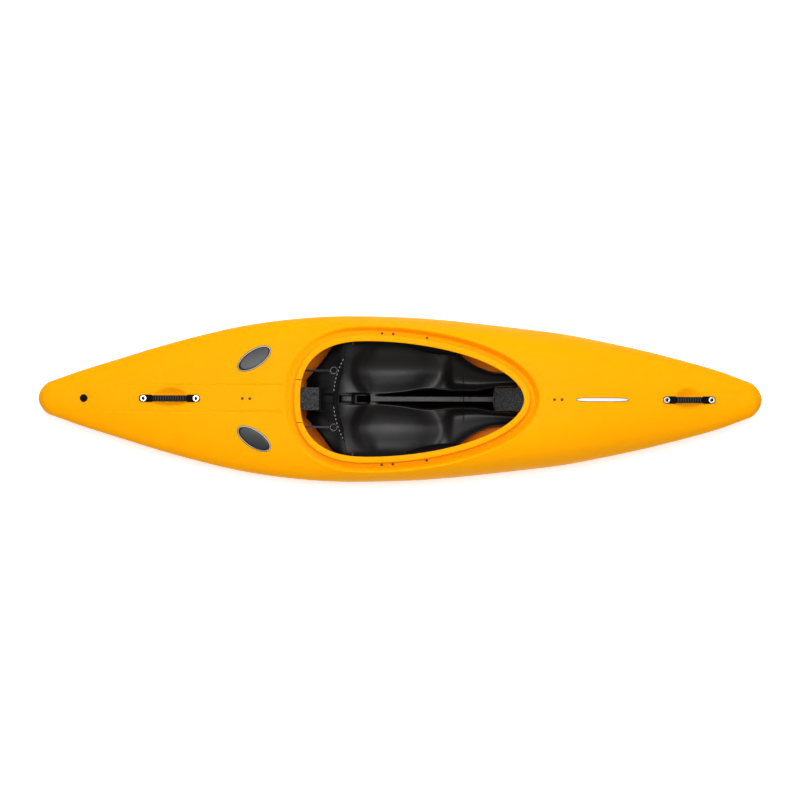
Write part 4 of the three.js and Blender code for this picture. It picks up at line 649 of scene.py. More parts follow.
def foam():
    """Closed-cell foam: open cut cells as fine pits, with a speckled grey."""
    material = bpy.data.materials.get("pillar foam")
    if material:
        return material
    looks = bpy.context.scene.kayak_looks
    material, nodes, shader, where = start_material("pillar foam", looks.foam, 0.92, specular_ior_level=0.1)
    cells = nodes.add("ShaderNodeTexVoronoi", {"Vector": where.outputs["Object"], "Scale": 420.0})
    blotch = nodes.add(
        "ShaderNodeTexNoise", {"Vector": where.outputs["Object"], "Scale": 210.0, "Detail": 4.0}
    )
    speckle = nodes.ramp(blotch.outputs[0], 0.4, 0.6)
    dark = [c * 0.5 for c in looks.foam]
    light = [min(1, c * 1.9) for c in looks.foam]
    nodes.set(shader, "Base Color", nodes.mix(speckle, rgba(dark), rgba(light)))
    pits = nodes.maths("ADD", cells.outputs["Distance"], blotch.outputs[0])
    nodes.bump(shader, pits, 0.5, 0.001)
    return material


def woven(name, colour, threads):
    """Webbing or cloth on a piece's own UV map."""
    material = bpy.data.materials.get(name)
    if material:
        return material
    material, nodes, shader, where = start_material(
        name, colour, 0.8, sheen_weight=0.02, sheen_roughness=0.4, specular_ior_level=0.06
    )
    weave = nodes.add("ShaderNodeGroup", node_tree=weave_group())
    nodes.set(weave, "Vector", where.outputs["UV"])
    weave.inputs["Threads per metre"].default_value = threads
    light = [min(1, c * 1.9 + 0.001) for c in colour]
    nodes.set(shader, "Base Color", nodes.mix(weave.outputs["Thread"], rgba(colour), rgba(light)))
    nodes.bump(shader, weave.outputs["Height"], 0.6, 0.0005)
    return material


def pad_cloth():
    """The backband's cover: knitted cloth on Object coordinates, crossed diagonally."""
    material = bpy.data.materials.get("pad cloth")
    if material:
        return material
    looks = bpy.context.scene.kayak_looks
    material, nodes, shader, where = start_material(
        "pad cloth", looks.cloth, 0.75, sheen_weight=0.04, sheen_roughness=0.35, specular_ior_level=0.08
    )
    turn = nodes.add("ShaderNodeMapping", {"Vector": where.outputs["Object"]})
    turn.inputs["Rotation"].default_value = (0.78, 0, 0)
    parts = nodes.add("ShaderNodeSeparateXYZ", {"Vector": turn.outputs[0]})
    waves = [nodes.maths("SINE", nodes.maths("MULTIPLY", parts.outputs[i], 3400.0)) for i in (1, 2)]
    knit = nodes.maths("MULTIPLY_ADD", nodes.maths("MULTIPLY", waves[0], waves[1]), 0.5, 0.5)
    light = [c * 2.2 + 0.002 for c in looks.cloth]
    nodes.set(shader, "Base Color", nodes.mix(knit, rgba(looks.cloth), rgba(light)))
    nodes.bump(shader, knit, 0.35, 0.0004)
    return material


def metal(name, colour, roughness):
    """Drawn or pressed metal with fine brushing."""
    material = bpy.data.materials.get(name)
    if material:
        return material
    material, nodes, shader, where = start_material(name, colour, roughness, metallic=1.0)
    turn = nodes.add("ShaderNodeMapping", {"Vector": where.outputs["Object"]})
    turn.inputs["Scale"].default_value = (1.0, 30.0, 30.0)
    brush = nodes.add("ShaderNodeTexNoise", {"Vector": turn.outputs[0], "Scale": 60.0, "Detail": 3.0})
    nodes.set(shader, "Roughness", nodes.ramp(brush.outputs[0], 0.3, 0.7, roughness * 0.8, roughness * 1.25))
    nodes.bump(shader, brush.outputs[0], 0.08, 0.0002)
    return material


def seat_plastic():
    """The seat's smooth black plastic, with painted shade: a near-black metal tone darkens its grooves, the
    spine's recess and the rear shelf, and takes out their gloss.
    """
    material = bpy.data.materials.get("seat plastic")
    if material:
        return material
    looks = bpy.context.scene.kayak_looks
    material = moulded(
        "seat plastic", looks.seat, looks.seat, looks.seat_roughness, grain=500.0, waves=1.5, bump=0.1,
        depth=0.0003, scuffs=0.5, specular_ior_level=looks.seat_gloss,
    )
    # Painted shade: where the groove attribute says so, the seat turns a near-black metal with no gloss
    nodes, shader, groove = masked(material, "groove", (0.0006, 0.0006, 0.0006, 1))
    nodes.set(shader, "Metallic", groove)
    return material


def black_plastic():
    return moulded(
        "black plastic", (0.004, 0.004, 0.0045), (0.003, 0.003, 0.0033), 0.6, grain=1400.0, bump=0.2,
        specular_ior_level=0.05,
    )


def rubber():
    """Soft black rubber, with a painted highlight, a paler colour, on the crests of a grip's ribs."""
    material = bpy.data.materials.get("soft rubber")
    if material:
        return material
    material = moulded(
        "soft rubber", (0.004, 0.0035, 0.0035), (0.006, 0.005, 0.005), 0.6, grain=1800.0, bump=0.35,
        scuffs=0.15, specular_ior_level=0.05,
    )
    # Painted highlight: the crests of the grip's ribs turn paler
    masked(material, "crest", (0.055, 0.05, 0.05, 1))
    return material


def webbing():
    return woven("strap webbing", (0.0025, 0.0022, 0.0022), 650.0)


def steel():
    # The steel's warm brown tone is a painted reflection of the orange deck round the screws
    return metal("screw steel", (0.2, 0.14, 0.08), 0.45)


def bolt_steel():
    return metal("bolt steel", (0.036, 0.04, 0.047), 0.35)


def painted_recess_shadow():
    # Painted shadow: a near-black, matt finish for discs that stand for the shade deep in a screw's drive
    # recess
    return moulded(
        "drive recess", (0.004, 0.004, 0.004), (0.002, 0.002, 0.002), 0.9, specular_ior_level=0.0
    )


# Geometry node trees


ROW_LAYERS = ("up", "along", "size")


def repeat_tree(name):
    """A tree that stands a template piece on every point, along its own direction and to its own size."""
    tree = bpy.data.node_groups.new(name, "GeometryNodeTree")
    tree.is_modifier = True
    for label, kind in (("Geometry", "Geometry"), ("Template", "Object"), ("Material", "Material")):
        tree.interface.new_socket(name=label, in_out="INPUT", socket_type="NodeSocket" + kind)
    scale = tree.interface.new_socket(name="Scale", in_out="INPUT", socket_type=FLOAT)
    scale.default_value = 1.0
    tree.interface.new_socket(name="Geometry", in_out="OUTPUT", socket_type="NodeSocketGeometry")
    nodes = Nodes(tree)
    start, end = nodes.add("NodeGroupInput"), nodes.add("NodeGroupOutput")
    template = nodes.add("GeometryNodeObjectInfo", {"Object": start.outputs["Template"]})
    up, along, size = [
        nodes.add("GeometryNodeInputNamedAttribute", {"Name": label}, data_type="FLOAT_VECTOR").outputs[0]
        for label in ROW_LAYERS
    ]
    align = "FunctionNodeAlignRotationToVector"
    stand = nodes.add(align, {"Vector": up}, axis="Z")
    turn = nodes.add(align, {"Rotation": stand.outputs[0], "Vector": along}, axis="X", pivot_axis="Z")
    scaled = nodes.add("ShaderNodeVectorMath", {0: size}, operation="SCALE")
    nodes.set(scaled, "Scale", start.outputs["Scale"])
    copies = nodes.add(
        "GeometryNodeInstanceOnPoints",
        {
            "Points": start.outputs["Geometry"],
            "Instance": template.outputs["Geometry"],
            "Rotation": turn.outputs[0],
            "Scale": scaled.outputs[0],
        },
    )
    real = nodes.add("GeometryNodeRealizeInstances", {"Geometry": copies.outputs[0]})
    finish = start.outputs["Material"]
    dressed = nodes.add("GeometryNodeSetMaterial", {"Geometry": real.outputs[0], "Material": finish})
    nodes.set(end, "Geometry", dressed.outputs[0])
    return tree


def repeated(name, template, places, material):
    """One mesh of a template piece stood on each place: (point in mm, up, along, size)."""
    mesh = bpy.data.meshes.new(name)
    mesh.from_pydata([tuple(np.array(point) * MM) for point, *_ in places], [], [])
    for column, label in enumerate(ROW_LAYERS, 1):
        layer = mesh.attributes.new(label, "FLOAT_VECTOR", "POINT")
        layer.data.foreach_set("vector", np.array([tuple(p[column]) for p in places], float).ravel())
    piece = linked(name, mesh)
    tree = bpy.data.node_groups.get("Repeat") or repeat_tree("Repeat")
    modifier = piece.modifiers.new("repeat", "NODES")
    modifier.node_group = tree
    sockets = {s.name: s.identifier for s in tree.interface.items_tree if s.in_out == "INPUT"}
    modifier[sockets["Template"]] = template
    modifier[sockets["Material"]] = material
    modifier[sockets["Scale"]] = 1.0
    applied(piece)
    bpy.data.objects.remove(template)
    for layer in ROW_LAYERS:
        if layer in piece.data.attributes:
            piece.data.attributes.remove(piece.data.attributes[layer])
    piece.data.shade_smooth()
    piece.data.set_sharp_from_angle(angle=math.radians(38))
    return piece


def template_of(name, points, faces):
    return tidy(new_piece(name, points, faces, steel()), sharp=38)


def domed_head(radius, height, socket_radius, shank, length):
    """A low domed screw head with a round drive recess, and its shank."""
    arc = [(radius * math.cos(t) ** 0.8, height * math.sin(t)) for t in np.linspace(0.12, 1.35, 7)]
    arc = [(r, h) for r, h in arc if r > socket_radius * 1.12]
    top = arc[-1][1]
    return [
        (0, -length), (shank * 0.7, -length), (shank, -length + shank), (shank, 0), (radius, 0), *arc,
        (socket_radius * 1.05, top + 0.05), (socket_radius, top - 0.25),
        (socket_radius * 0.92, top - height * 0.55), (0, top - height * 0.6),
    ]


ONE = (1.0, 1.0, 1.0)


def placed_on(places, drop=0.0):
    """Rows for repeated(): a point, its direction up, and a direction along, from places and directions."""
    rows = []
    for place, up in places:
        along = Vector((1, 0, 0)) if abs(up.x) < 0.9 else Vector((0, 1, 0))
        rows.append((place + up * drop, up, along, ONE))
    return rows


# Hull


def lip_section():
    """The coaming's section from the ledge outside it, over the lip, to the ledge's underside."""
    neck = COAMING_HEIGHT - LIP_THICKNESS
    r, w = LIP_ROUND, WALL
    points = [(w + 2.6 * r, 0)]

    def corner(cx, cz, radius, start, end, steps=5):
        for t in np.linspace(math.radians(start), math.radians(end), steps):
            points.append((cx + radius * math.cos(t), cz + radius * math.sin(t)))

    corner(w + 2 * r, 2 * r, 2 * r, -90, -180)
    corner(w + r, neck - r, r, 180, 90)
    corner(LIP_WIDTH - r, neck + r, r, -90, 0)
    corner(LIP_WIDTH - r, COAMING_HEIGHT - r, r, 0, 90)
    points.append((lerp(r, LIP_WIDTH - r, 0.5), COAMING_HEIGHT + 0.5))
    corner(r, COAMING_HEIGHT - r, r, 90, 180)
    points.append((0, COAMING_HEIGHT / 2))
    corner(r, r - w, r, 180, 270)
    points.append((MOAT_FLOOR / 2, -w))
    return np.array(points)


LIP = lip_section()
LIP_RUN = np.concatenate([[0], np.cumsum(np.hypot(*np.diff(LIP, axis=0).T))])
LIP_RUN /= LIP_RUN[-1]


def sunk(x, y, centre, half_length, half_width, depth):
    """How deep a finger well is at a place: a bowl with a soft rim, shallower on the right side."""
    r = np.sqrt(((x - centre) / half_length) ** 2 + (y / half_width) ** 2) / WELL_REACH
    share = lerp(WELL_RIGHT, WELL_LEFT, smooth(y, -0.8 * half_width, 0.5 * half_width))
    return depth * share * np.maximum(0, 1 - np.minimum(r, 1) ** 2) ** 1.5


def deck_relief(x, y, inset):
    """Everything that is sunk in the deck: wells, the drain's dish and the stern lines."""
    depth = np.zeros_like(x)
    for well in WELLS:
        depth += sunk(x, y, *well)
    out = np.hypot(x - DRAIN, y)
    depth += DISH_DEPTH * smooth(out, DISH_RADIUS, DISH_RADIUS * 0.35)
    if inset == 0:
        depth += 12 * smooth(out, DRAIN_HOLE, DRAIN_HOLE - 1.2)
        share = np.clip((x - LINE_REAR) / (LINE_FRONT - LINE_REAR), 0, 1)
        spread = lerp(*LINE_WIDTHS, share**3)
        ends = smooth(x, LINE_REAR - 20, LINE_REAR + 200) * smooth(x, LINE_FRONT + 14, LINE_FRONT - 10)
        groove = np.exp(-(((np.abs(y) - LINE_OFFSET) / spread) ** 2))
        depth += lerp(*LINE_DEPTHS, share**2) * ends * groove
    else:
        depth += 16 * smooth(out, DRAIN_CUT, DRAIN_CUT - 2.2)
    return depth


def hull_point(angle, row):
    """Points of the shell at angles round the boat and rows over its section. Row 0 is the keel outside;
    the rows pass the flat's edge at 1, the sheer at 2, the moat at 3, the ledge at 4, the lip, and its
    underside at 5, and then the same lines inside back to the keel at 9."""
    x, y, z = np.zeros((3, len(angle)))
    c, s = np.cos(angle), np.sign(np.sin(angle))
    s[np.abs(np.sin(angle)) < 1e-9] = 0
    inside = row > 5
    inset = np.where(inside, WALL, 0.0)
    run = np.where(inside, 9 - row, row)
    along = (BOW - inset) * c
    beam, sheer, keel = half_beam(along, inset), sheer_height(along), keel_height(along, inset)
    # Flat bottom
    here = run <= 1
    x[here], y[here], z[here] = along[here], (s * beam * FLAT_SHARE * run)[here], keel[here]
    # Bilge
    here = (run > 1) & (run <= 2)
    turn = np.clip(2 - run, 0, 1) * math.pi / 2
    out = beam * lerp(FLAT_SHARE, 1, np.maximum(0, np.cos(turn)) ** (2 / BILGE_POWER))
    x[here], y[here] = along[here], (s * out)[here]
    z[here] = lerp(sheer, keel, np.sin(turn) ** (2 / BILGE_POWER))[here]
    # Deck
    here = (run > 2) & (run <= 3)
    share = np.clip(3 - run, 0, 1)
    ix, iy = coaming_point(angle, MOAT)
    dx, dy = lerp(ix, along, share), lerp(iy, s * beam, share)
    relief = np.where(inside, deck_relief(dx, dy, 1), deck_relief(dx, dy, 0))
    height = deck_height(dx, dy, inset) - relief
    x[here], y[here], z[here] = dx[here], dy[here], height[here]
    # Moat
    here = (run > 3) & ((row <= 4) | inside)
    offset = lerp(MOAT, MOAT_FLOOR, np.clip(run - 3, 0, 1))
    mx, my = coaming_point(angle, offset)
    edge = ledge_height(coaming_point(angle, 0.0)[0])
    blend = smooth(offset, MOAT_FLOOR, MOAT)
    mz = lerp(edge - inset, deck_height(mx, my, inset), blend)
    x[here], y[here], z[here] = mx[here], my[here], mz[here]
    # Ledge and lip
    here = (row > 4) & (row <= 5)
    offset = np.interp(row - 4, LIP_RUN, LIP[:, 0])
    lx, ly = coaming_point(angle, offset)
    lz = edge + np.interp(row - 4, LIP_RUN, LIP[:, 1])
    x[here], y[here], z[here] = lx[here], ly[here], lz[here]
    return np.stack([x, y, z], axis=1)


# Each dent: its depth, outer radius and inner radius
SCREW_DENT, BOLT_DENT = (1.4, 6.9, 5.9), (3.2, 9.6, 8.4)


def seat_screw_dents(points, row):
    """Sinks a flat seat under every small screw, and a recess under every rail bolt."""
    outside = row <= 4.3
    depth, outer, inner = SCREW_DENT
    for place, up in small_screws().values():
        away = np.linalg.norm(points[:, :2] - np.array(place)[:2], axis=1)
        dent = depth * smooth(away, outer, inner) * outside
        points -= dent[:, None] * np.array(up)
    depth, outer, inner = BOLT_DENT
    for side in SIDES.values():
        for place, outward in rail_bolts(side):
            away = np.linalg.norm(points - np.array(place), axis=1)
            dent = depth * smooth(away, outer, inner) * (row < 3)
            points -= dent[:, None] * np.array(outward)
    return points


def detail_size(points, row):
    """How fine the shell's mesh has to be at each place, in millimetres."""
    x, y, _ = points.T
    size = np.full(len(points), 1e3)
    on_deck = (row > 1.9) & (row < 4.35)
    under = (row > 5.9) & (row < 7.1)
    for centre, half_length, half_width, _ in WELLS:
        near = (np.abs(x - centre) < half_length * 1.2) & (np.abs(y) < half_width * 1.25)
        size[near & on_deck] = 3.0
        size[near & under] = 6.0
    out = np.hypot(x - DRAIN, y)
    size[(out < 40) & (on_deck | under)] = 4.0
    size[(out < 19) & (on_deck | under)] = 1.6
    lines = (np.abs(np.abs(y) - LINE_OFFSET) < 12) & (x < LINE_FRONT + 18) & (x > LINE_REAR - 20)
    size[lines & on_deck] = 3.2
    for place, _ in small_screws().values():
        near = np.hypot(x - place.x, y - place.y) < 9
        size[near & on_deck] = 1.5
    for side in SIDES.values():
        for place, _ in rail_bolts(side):
            near = np.linalg.norm(points - np.array(place), axis=1) < 12
            size[near & (row < 3)] = 1.8
    return size


def spaced(start, end, count):
    return list(np.linspace(start, end, count, endpoint=False))


def hull_grid():
    """Angles and rows of the shell's even mesh, closer together over the centre line at both ends."""
    settings = bpy.context.scene.kayak_hull
    n = settings.ring_steps
    u = np.arange(n + 1) / n
    angles = 2 * math.pi * u - 0.25 * np.sin(4 * math.pi * u)
    rows = [
        *spaced(0, 1, 3), *spaced(1, 2, 22), *spaced(2, 3, settings.deck_rows), *spaced(3, 4, 12),
        *(4 + LIP_RUN[:-1]), 5.0, *spaced(5.25, 6, 3), *spaced(6, 7, 20), *spaced(7, 8, 10),
        *spaced(8, 9, 2), 9.0,
    ]
    rows = sorted(set(np.round(rows, 6)))
    return angles, np.array(rows)


def build_shell(material):
    angles, rows = hull_grid()
    a, r = np.meshgrid(angles, rows)
    mesh = bmesh.new()
    angle_layer = mesh.verts.layers.float.new("angle")
    row_layer = mesh.verts.layers.float.new("row")
    points = hull_point(a.ravel(), r.ravel())
    verts = [mesh.verts.new(p) for p in points]
    for vert, angle, row in zip(verts, a.ravel(), r.ravel()):
        vert[angle_layer] = angle
        vert[row_layer] = row
    for face in grid_faces(len(rows), len(angles)):
        mesh.faces.new([verts[i] for i in face])
    for _ in range(3):
        mesh.verts.ensure_lookup_table()
        where = np.array([v.co for v in mesh.verts])
        row = np.array([v[row_layer] for v in mesh.verts])
        need = detail_size(where, row)
        mesh.verts.index_update()
        long_edges = [
            e for e in mesh.edges
            if e.calc_length() > 1.5 * min(need[e.verts[0].index], need[e.verts[1].index])
        ]
        if not long_edges:
            break
        bmesh.ops.subdivide_edges(mesh, edges=long_edges, cuts=1, use_grid_fill=True)
    mesh.verts.ensure_lookup_table()
    angle = np.array([v[angle_layer] for v in mesh.verts])
    row = np.array([v[row_layer] for v in mesh.verts])
    points = seat_screw_dents(hull_point(angle, row), row)
    for vert, point in zip(mesh.verts, points):
        vert.co = Vector(point) * MM
    bmesh.ops.remove_doubles(mesh, verts=mesh.verts, dist=2e-5)
    bmesh.ops.dissolve_degenerate(mesh, dist=1e-6, edges=mesh.edges)
    bmesh.ops.recalc_face_normals(mesh, faces=mesh.faces)
    data = bpy.data.meshes.new("hull")
    mesh.to_mesh(data)
    mesh.free()
    # The inside marks the points that the shell's material paints with a glow of light through the plastic
    inside = data.attributes.new("inside", "FLOAT", "POINT")
    inside.data.foreach_set("value", [float(v.value > 5.4) for v in data.attributes["row"].data])
    for layer in ("angle", "row"):
        data.attributes.remove(data.attributes[layer])
    data.materials.append(material)
    data.shade_smooth()
    return linked("hull", data)


def face_up(piece):
    """Turns a sheet's faces over where most of them look down."""
    if sum(p.normal.z * p.area for p in piece.data.polygons) < 0:
        piece.data.flip_normals()
    return piece


def deck_patch(name, outline, material, lift, rings=6):
    """A thin film on the deck, from the outline's points in plan: a low dome that follows the deck."""
    outline = np.array(outline, float)
    centre = outline.mean(axis=0)
    layers = [(centre + (outline - centre) * ring / rings, lift) for ring in range(rings + 1)]
    layers.append((outline, -0.4))
    points = [point for plan, rise in layers for point in zip(*plan.T, deck_height(*plan.T) + rise)]
    piece = new_piece(name, points, ring_faces(rings + 2, len(outline)), material)
    return face_up(tidy(piece, outward=False))


def ellipse(cx, cy, a, b, tilt, steps=72):
    t = np.linspace(0, 2 * math.pi, steps, endpoint=False)
    x, y = a * np.cos(t), b * np.sin(t)
    c, s = math.cos(tilt), math.sin(tilt)
    return np.stack([cx + x * c - y * s, cy + x * s + y * c], axis=1)


# Seat

SEAT_REAR, SEAT_LENGTH, SEAT_HALF = -352.0, 792.0, 225.0
SEAT_TABLES = {
    "edge": [
        (0, 0.285), (0.066, 0.56), (0.153, 0.92), (0.256, 0.985), (0.333, 1), (0.444, 1), (0.52, 0.95),
        (0.604, 0.91), (0.678, 0.85), (0.708, 0.79), (0.746, 0.67), (0.823, 0.51), (0.879, 0.444),
        (0.96, 0.41), (1, 0.39),
    ],
    "rim": [
        (0, 0.32), (0.066, 0.44), (0.153, 0.62), (0.22, 0.86), (0.27, 1), (0.46, 1), (0.53, 0.68),
        (0.604, 0.6), (0.678, 0.52), (0.746, 0.4), (0.823, 0.28), (0.879, 0.22), (1, 0.17),
    ],
    "ridge_place": [
        (0, 0.5), (0.3, 0.5), (0.36, 0.52), (0.444, 0.66), (0.547, 0.95), (0.604, 1), (0.641, 0.95),
        (0.7, 0.84), (0.8, 0.84), (0.88, 1.13), (0.96, 1.28), (1, 1.3),
    ],
    "ridge": [
        (0, 0.66), (0.066, 0.9), (0.153, 1), (0.2, 0.96), (0.25, 0.68), (0.31, 0.62), (0.444, 0.6),
        (0.547, 0.66), (0.62, 0.72), (0.68, 0.6), (0.75, 0.54), (0.88, 0.5), (1, 0.42),
    ],
    "spine": [
        (0, 0.64), (0.066, 0.88), (0.155, 1), (0.165, 1.14), (0.215, 1.14), (0.228, 0.5), (0.285, 0.48),
        (0.305, 0.64), (0.36, 0.62), (0.85, 0.6), (1, 0.5),
    ],
    "groove": [(0, 0), (0.33, 0), (0.37, 0.8), (0.4, 1), (1, 1)],
    "bowl": [
        (0, 0.6), (0.066, 0.86), (0.153, 0.96), (0.2, 0.86), (0.25, 0.52), (0.31, 0.36), (0.38, 0.3),
        (0.444, 0.3), (0.5, 0.34), (0.547, 0.42), (0.604, 0.58), (0.64, 0.66), (0.665, 0.52),
        (0.7, 0.22), (0.76, 0.17), (1, 0.19),
    ],
    "fall": [(0, 0.5), (0.2, 0.5), (0.33, 0.75), (0.5, 0.75), (0.6, 0.6), (0.7, 0.75), (1, 0.75)],
    "shoulder": [
        (0, 0.62), (0.066, 0.92), (0.153, 1.16), (0.25, 1), (0.35, 0.8), (0.547, 0.86), (0.64, 0.98),
        (0.7, 0.7), (0.8, 0.44), (0.88, 0.34), (1, 0.27),
    ],
    "low": [(0, 0.45), (0.1, 0.8), (0.2, 1), (0.62, 1), (0.7, 0.12), (0.8, 0), (1, 0.14)],
}
SEAT_CURVES = {name: curve_through(pairs) for name, pairs in SEAT_TABLES.items()}
SEAT_STATIONS, SEAT_WALL, SEAT_RISE = 84, 5, 100
RIDGE_OFFSET, GROOVE_FLOOR, LOW_LINE = 41, 16, (60, 108)
SPINE_WALL_LOW, SPINE_WALL_HIGH = 10, 13
FLANGE, EAR, EAR_REAR, EAR_FRONT = 5, 27, (-112, -97), (12, -3)
BOWL_DRAW, BOWL_MIDDLE, BOWL_REACH = 30.0, 108, 72
SEAT_SEAM, SPINE_LINES = 240, (228, 265)
# Painted shade on the seat: the span of the spine's recess that is painted dark, and each column's share of
# the painted shade in the grooves beside the spine
SEAT_RECESS = (0.229, 0.304)
GROOVE_SHADE = [0, 0, 0, 0, 0.5, 1, 1, 1, 1, 0.6]
# Ahead of the fork the seat has a gap for the front pillar, from this column of points outwards
SEAT_FORK, FORK_STATIONS, SEAT_GAP_COLUMN = 353.8, [353.5, 354.2], 10
FORK_GAP, FORK_EDGE = 46.2, 44.0


def spline(points, t):
    """A centripetal spline through rows of points, at shares t of the run over its points."""
    points = [2 * points[0] - points[1], *points, 2 * points[-1] - points[-2]]
    spans = len(points) - 3
    rows = []
    for share in t:
        i = min(int(share * spans), spans - 1)
        w = share * spans - i
        p = points[i : i + 4]
        steps = [np.linalg.norm(p[k + 1] - p[k], axis=-1, keepdims=True) for k in range(3)]
        d = [np.maximum(step, 1e-4) ** 0.5 for step in steps]
        t1 = ((p[1] - p[0]) / d[0] - (p[2] - p[0]) / (d[0] + d[1]) + (p[2] - p[1]) / d[1]) * d[1]
        t2 = ((p[2] - p[1]) / d[1] - (p[3] - p[1]) / (d[1] + d[2]) + (p[3] - p[2]) / d[2]) * d[1]
        rise = p[2] - p[1]
        rows.append(p[1] + w * t1 + w**2 * (3 * rise - 2 * t1 - t2) + w**3 * (t1 + t2 - 2 * rise))
    return rows


def seat_half(x):
    """The left half of the seat's cross sections at places along it, from the centre line to the flange."""
    share = (x - SEAT_REAR) / SEAT_LENGTH
    at = {name: curve(share) for name, curve in SEAT_CURVES.items()}
    lift = rocker(x)
    edge = SEAT_HALF * at["edge"]
    top = (ledge_height(x) - WALL - 0.4) * at["rim"]
    ridge_y, ridge = RIDGE_OFFSET * at["ridge_place"], lift + SEAT_RISE * at["ridge"]
    spine = lift + SEAT_RISE * at["spine"]
    groove = lerp(np.minimum(spine, ridge), lift + GROOVE_FLOOR, at["groove"])
    bowl, shoulder = lift + SEAT_RISE * at["bowl"], lift + SEAT_RISE * at["shoulder"]
    low = np.minimum(lerp(*LOW_LINE, at["low"]), (ridge_y + edge) / 2)
    flange = lerp(FLANGE, EAR, smooth(x, *EAR_REAR) * smooth(x, *EAR_FRONT))
    gap = np.where(x > SEAT_FORK, FORK_GAP, 0.0)

    def pair(y, z):
        return np.stack([y, z], axis=-1)

    controls = [
        pair(ridge_y, ridge), pair(lerp(ridge_y, low, 0.5), lerp(ridge, bowl, at["fall"])), pair(low, bowl),
        pair(lerp(low, edge, 0.45), lerp(bowl, shoulder, 0.45)), pair(lerp(low, edge, 0.8), shoulder),
        pair(lerp(low, edge, 0.97), lerp(shoulder, top, 0.55)), pair(edge, top),
    ]
    surface = spline(controls, np.linspace(0, 1, 43))
    foot = np.maximum(ridge_y - 15, 16)
    wall_low, wall_high = SPINE_WALL_LOW + 0 * x, SPINE_WALL_HIGH + 0 * x
    columns = [
        pair(0 * x, spine), pair(5 + 0 * x, spine), pair(9 + 0 * x, spine), pair(wall_low, spine - 0.6),
        pair(lerp(wall_low, wall_high, 0.5), lerp(spine, groove, 0.5)), pair(wall_high, groove + 0.4),
        pair(lerp(wall_high, foot, 0.25), groove), pair(lerp(wall_high, foot, 0.75), groove),
        pair(foot, groove + 0.4), pair(lerp(foot, ridge_y, 0.5), lerp(groove, ridge, 0.5)),
        pair(lerp(foot, ridge_y, 0.92), lerp(groove, ridge, 0.95)),
        *surface, pair(edge + 1.2, top), pair(edge + flange * 0.5, top), pair(edge + flange, top),
    ]
    section = np.stack(columns)
    section[:, :, 0] = np.maximum(section[:, :, 0], gap[None, :])
    return section


def rounded_bowls(x, section):
    """Draws in both ends of the seat's bowls away from their middle lines, which makes the bowls oval."""
    rear = smooth(x, -235, -200) * smooth(x, -75, -120)
    front = smooth(x, 40, 90) * smooth(x, 185, 150)
    out = section.copy()
    for j in range(11, len(section) - 3):
        away = np.clip(((section[j, :, 0] - BOWL_MIDDLE) / BOWL_REACH) ** 2, 0, 1.3)
        shift = away * (BOWL_DRAW * front - BOWL_DRAW * rear)
        out[j, :, 1] = seat_half(x + shift)[j, :, 1]
    return out


def groove_shade(stations, columns):
    """How much painted shade every point of the seat's grid gets, from 0 to 1: in the grooves beside the
    spine, in the spine's recess and on the shelf behind the backband.
    """
    share = (stations - SEAT_REAR) / SEAT_LENGTH
    half = np.zeros((len(stations), columns // 2 + 1))
    half[:, : len(GROOVE_SHADE)] = SEAT_CURVES["groove"](share)[:, None] * np.array(GROOVE_SHADE)
    recess = (share > SEAT_RECESS[0]) & (share < SEAT_RECESS[1])
    half[recess, :6] = 1
    # Painted shade on the rear shelf behind the backband
    half = np.maximum(half, 0.7 * smooth(stations, -185, -235)[:, None])
    return np.concatenate([half[:, :0:-1], half], axis=1)


def seat_relief(points):
    """Sinks the seat's cross seam and the part lines on its spine."""
    x, y, _ = points.T
    seam = np.exp(-(((x - SEAT_SEAM) / 1.5) ** 2)) * smooth(np.abs(y), 92, 74)
    spine = np.abs(y) < 13
    lines = sum(np.exp(-(((x - at) / 1.3) ** 2)) for at in SPINE_LINES) * spine
    points[:, 2] -= 1.6 * seam + 1.1 * lines
    return points


def build_seat(material):
    stations = np.unique(np.concatenate([
        np.linspace(SEAT_REAR, SEAT_REAR + SEAT_LENGTH, SEAT_STATIONS),
        SEAT_REAR + SEAT_LENGTH * np.array([0.153, 0.165, 0.215, 0.228, 0.285, 0.305]),
        SEAT_SEAM + np.array([-4, -2, -0.8, 0, 0.8, 2, 4]),
        *[line + np.array([-2.5, 0, 2.5]) for line in SPINE_LINES],
        FORK_STATIONS,
    ]))
    half = rounded_bowls(stations, seat_half(stations))
    section = np.concatenate([half[:0:-1] * [-1, 1], half])
    columns, rows = section.shape[:2]
    beside = stations > SEAT_FORK
    for column, side in ((columns // 2 - SEAT_GAP_COLUMN, -1), (columns // 2 + SEAT_GAP_COLUMN, 1)):
        section[column, beside, 0] = side * FORK_EDGE
    points = np.zeros((rows, columns, 3))
    points[:, :, 0] = stations[:, None]
    points[:, :, 1:] = section.transpose(1, 0, 2)
    middle = columns // 2
    cut = range(middle - SEAT_GAP_COLUMN, middle + SEAT_GAP_COLUMN)
    faces = [f for f in grid_faces(rows, columns) if not (beside[f[0] // columns] and f[0] % columns in cut)]
    flat = seat_relief(points.reshape(-1, 3))
    piece = new_piece("seat", flat, faces, material)
    # The groove attribute carries the painted shade to the seat's material
    marks = piece.data.attributes.new("groove", "FLOAT", "POINT")
    marks.data.foreach_set("value", groove_shade(stations, columns).ravel())
    face_up(tidy(piece, outward=False))
    wall = piece.modifiers.new("wall", "SOLIDIFY")
    wall.thickness = SEAT_WALL * MM
    wall.offset = -1
    return finer(piece)


# Pillars

PILLAR_HALF = 43.0
FRONT_FACE, FRONT_TOP, FRONT_END, FRONT_EDGE = 357, 470, 900, 168
REAR_FOOT, REAR_SHELF, REAR_END, SHELF_LOW, SHELF_HIGH = -360, -304, -750, 118, 214


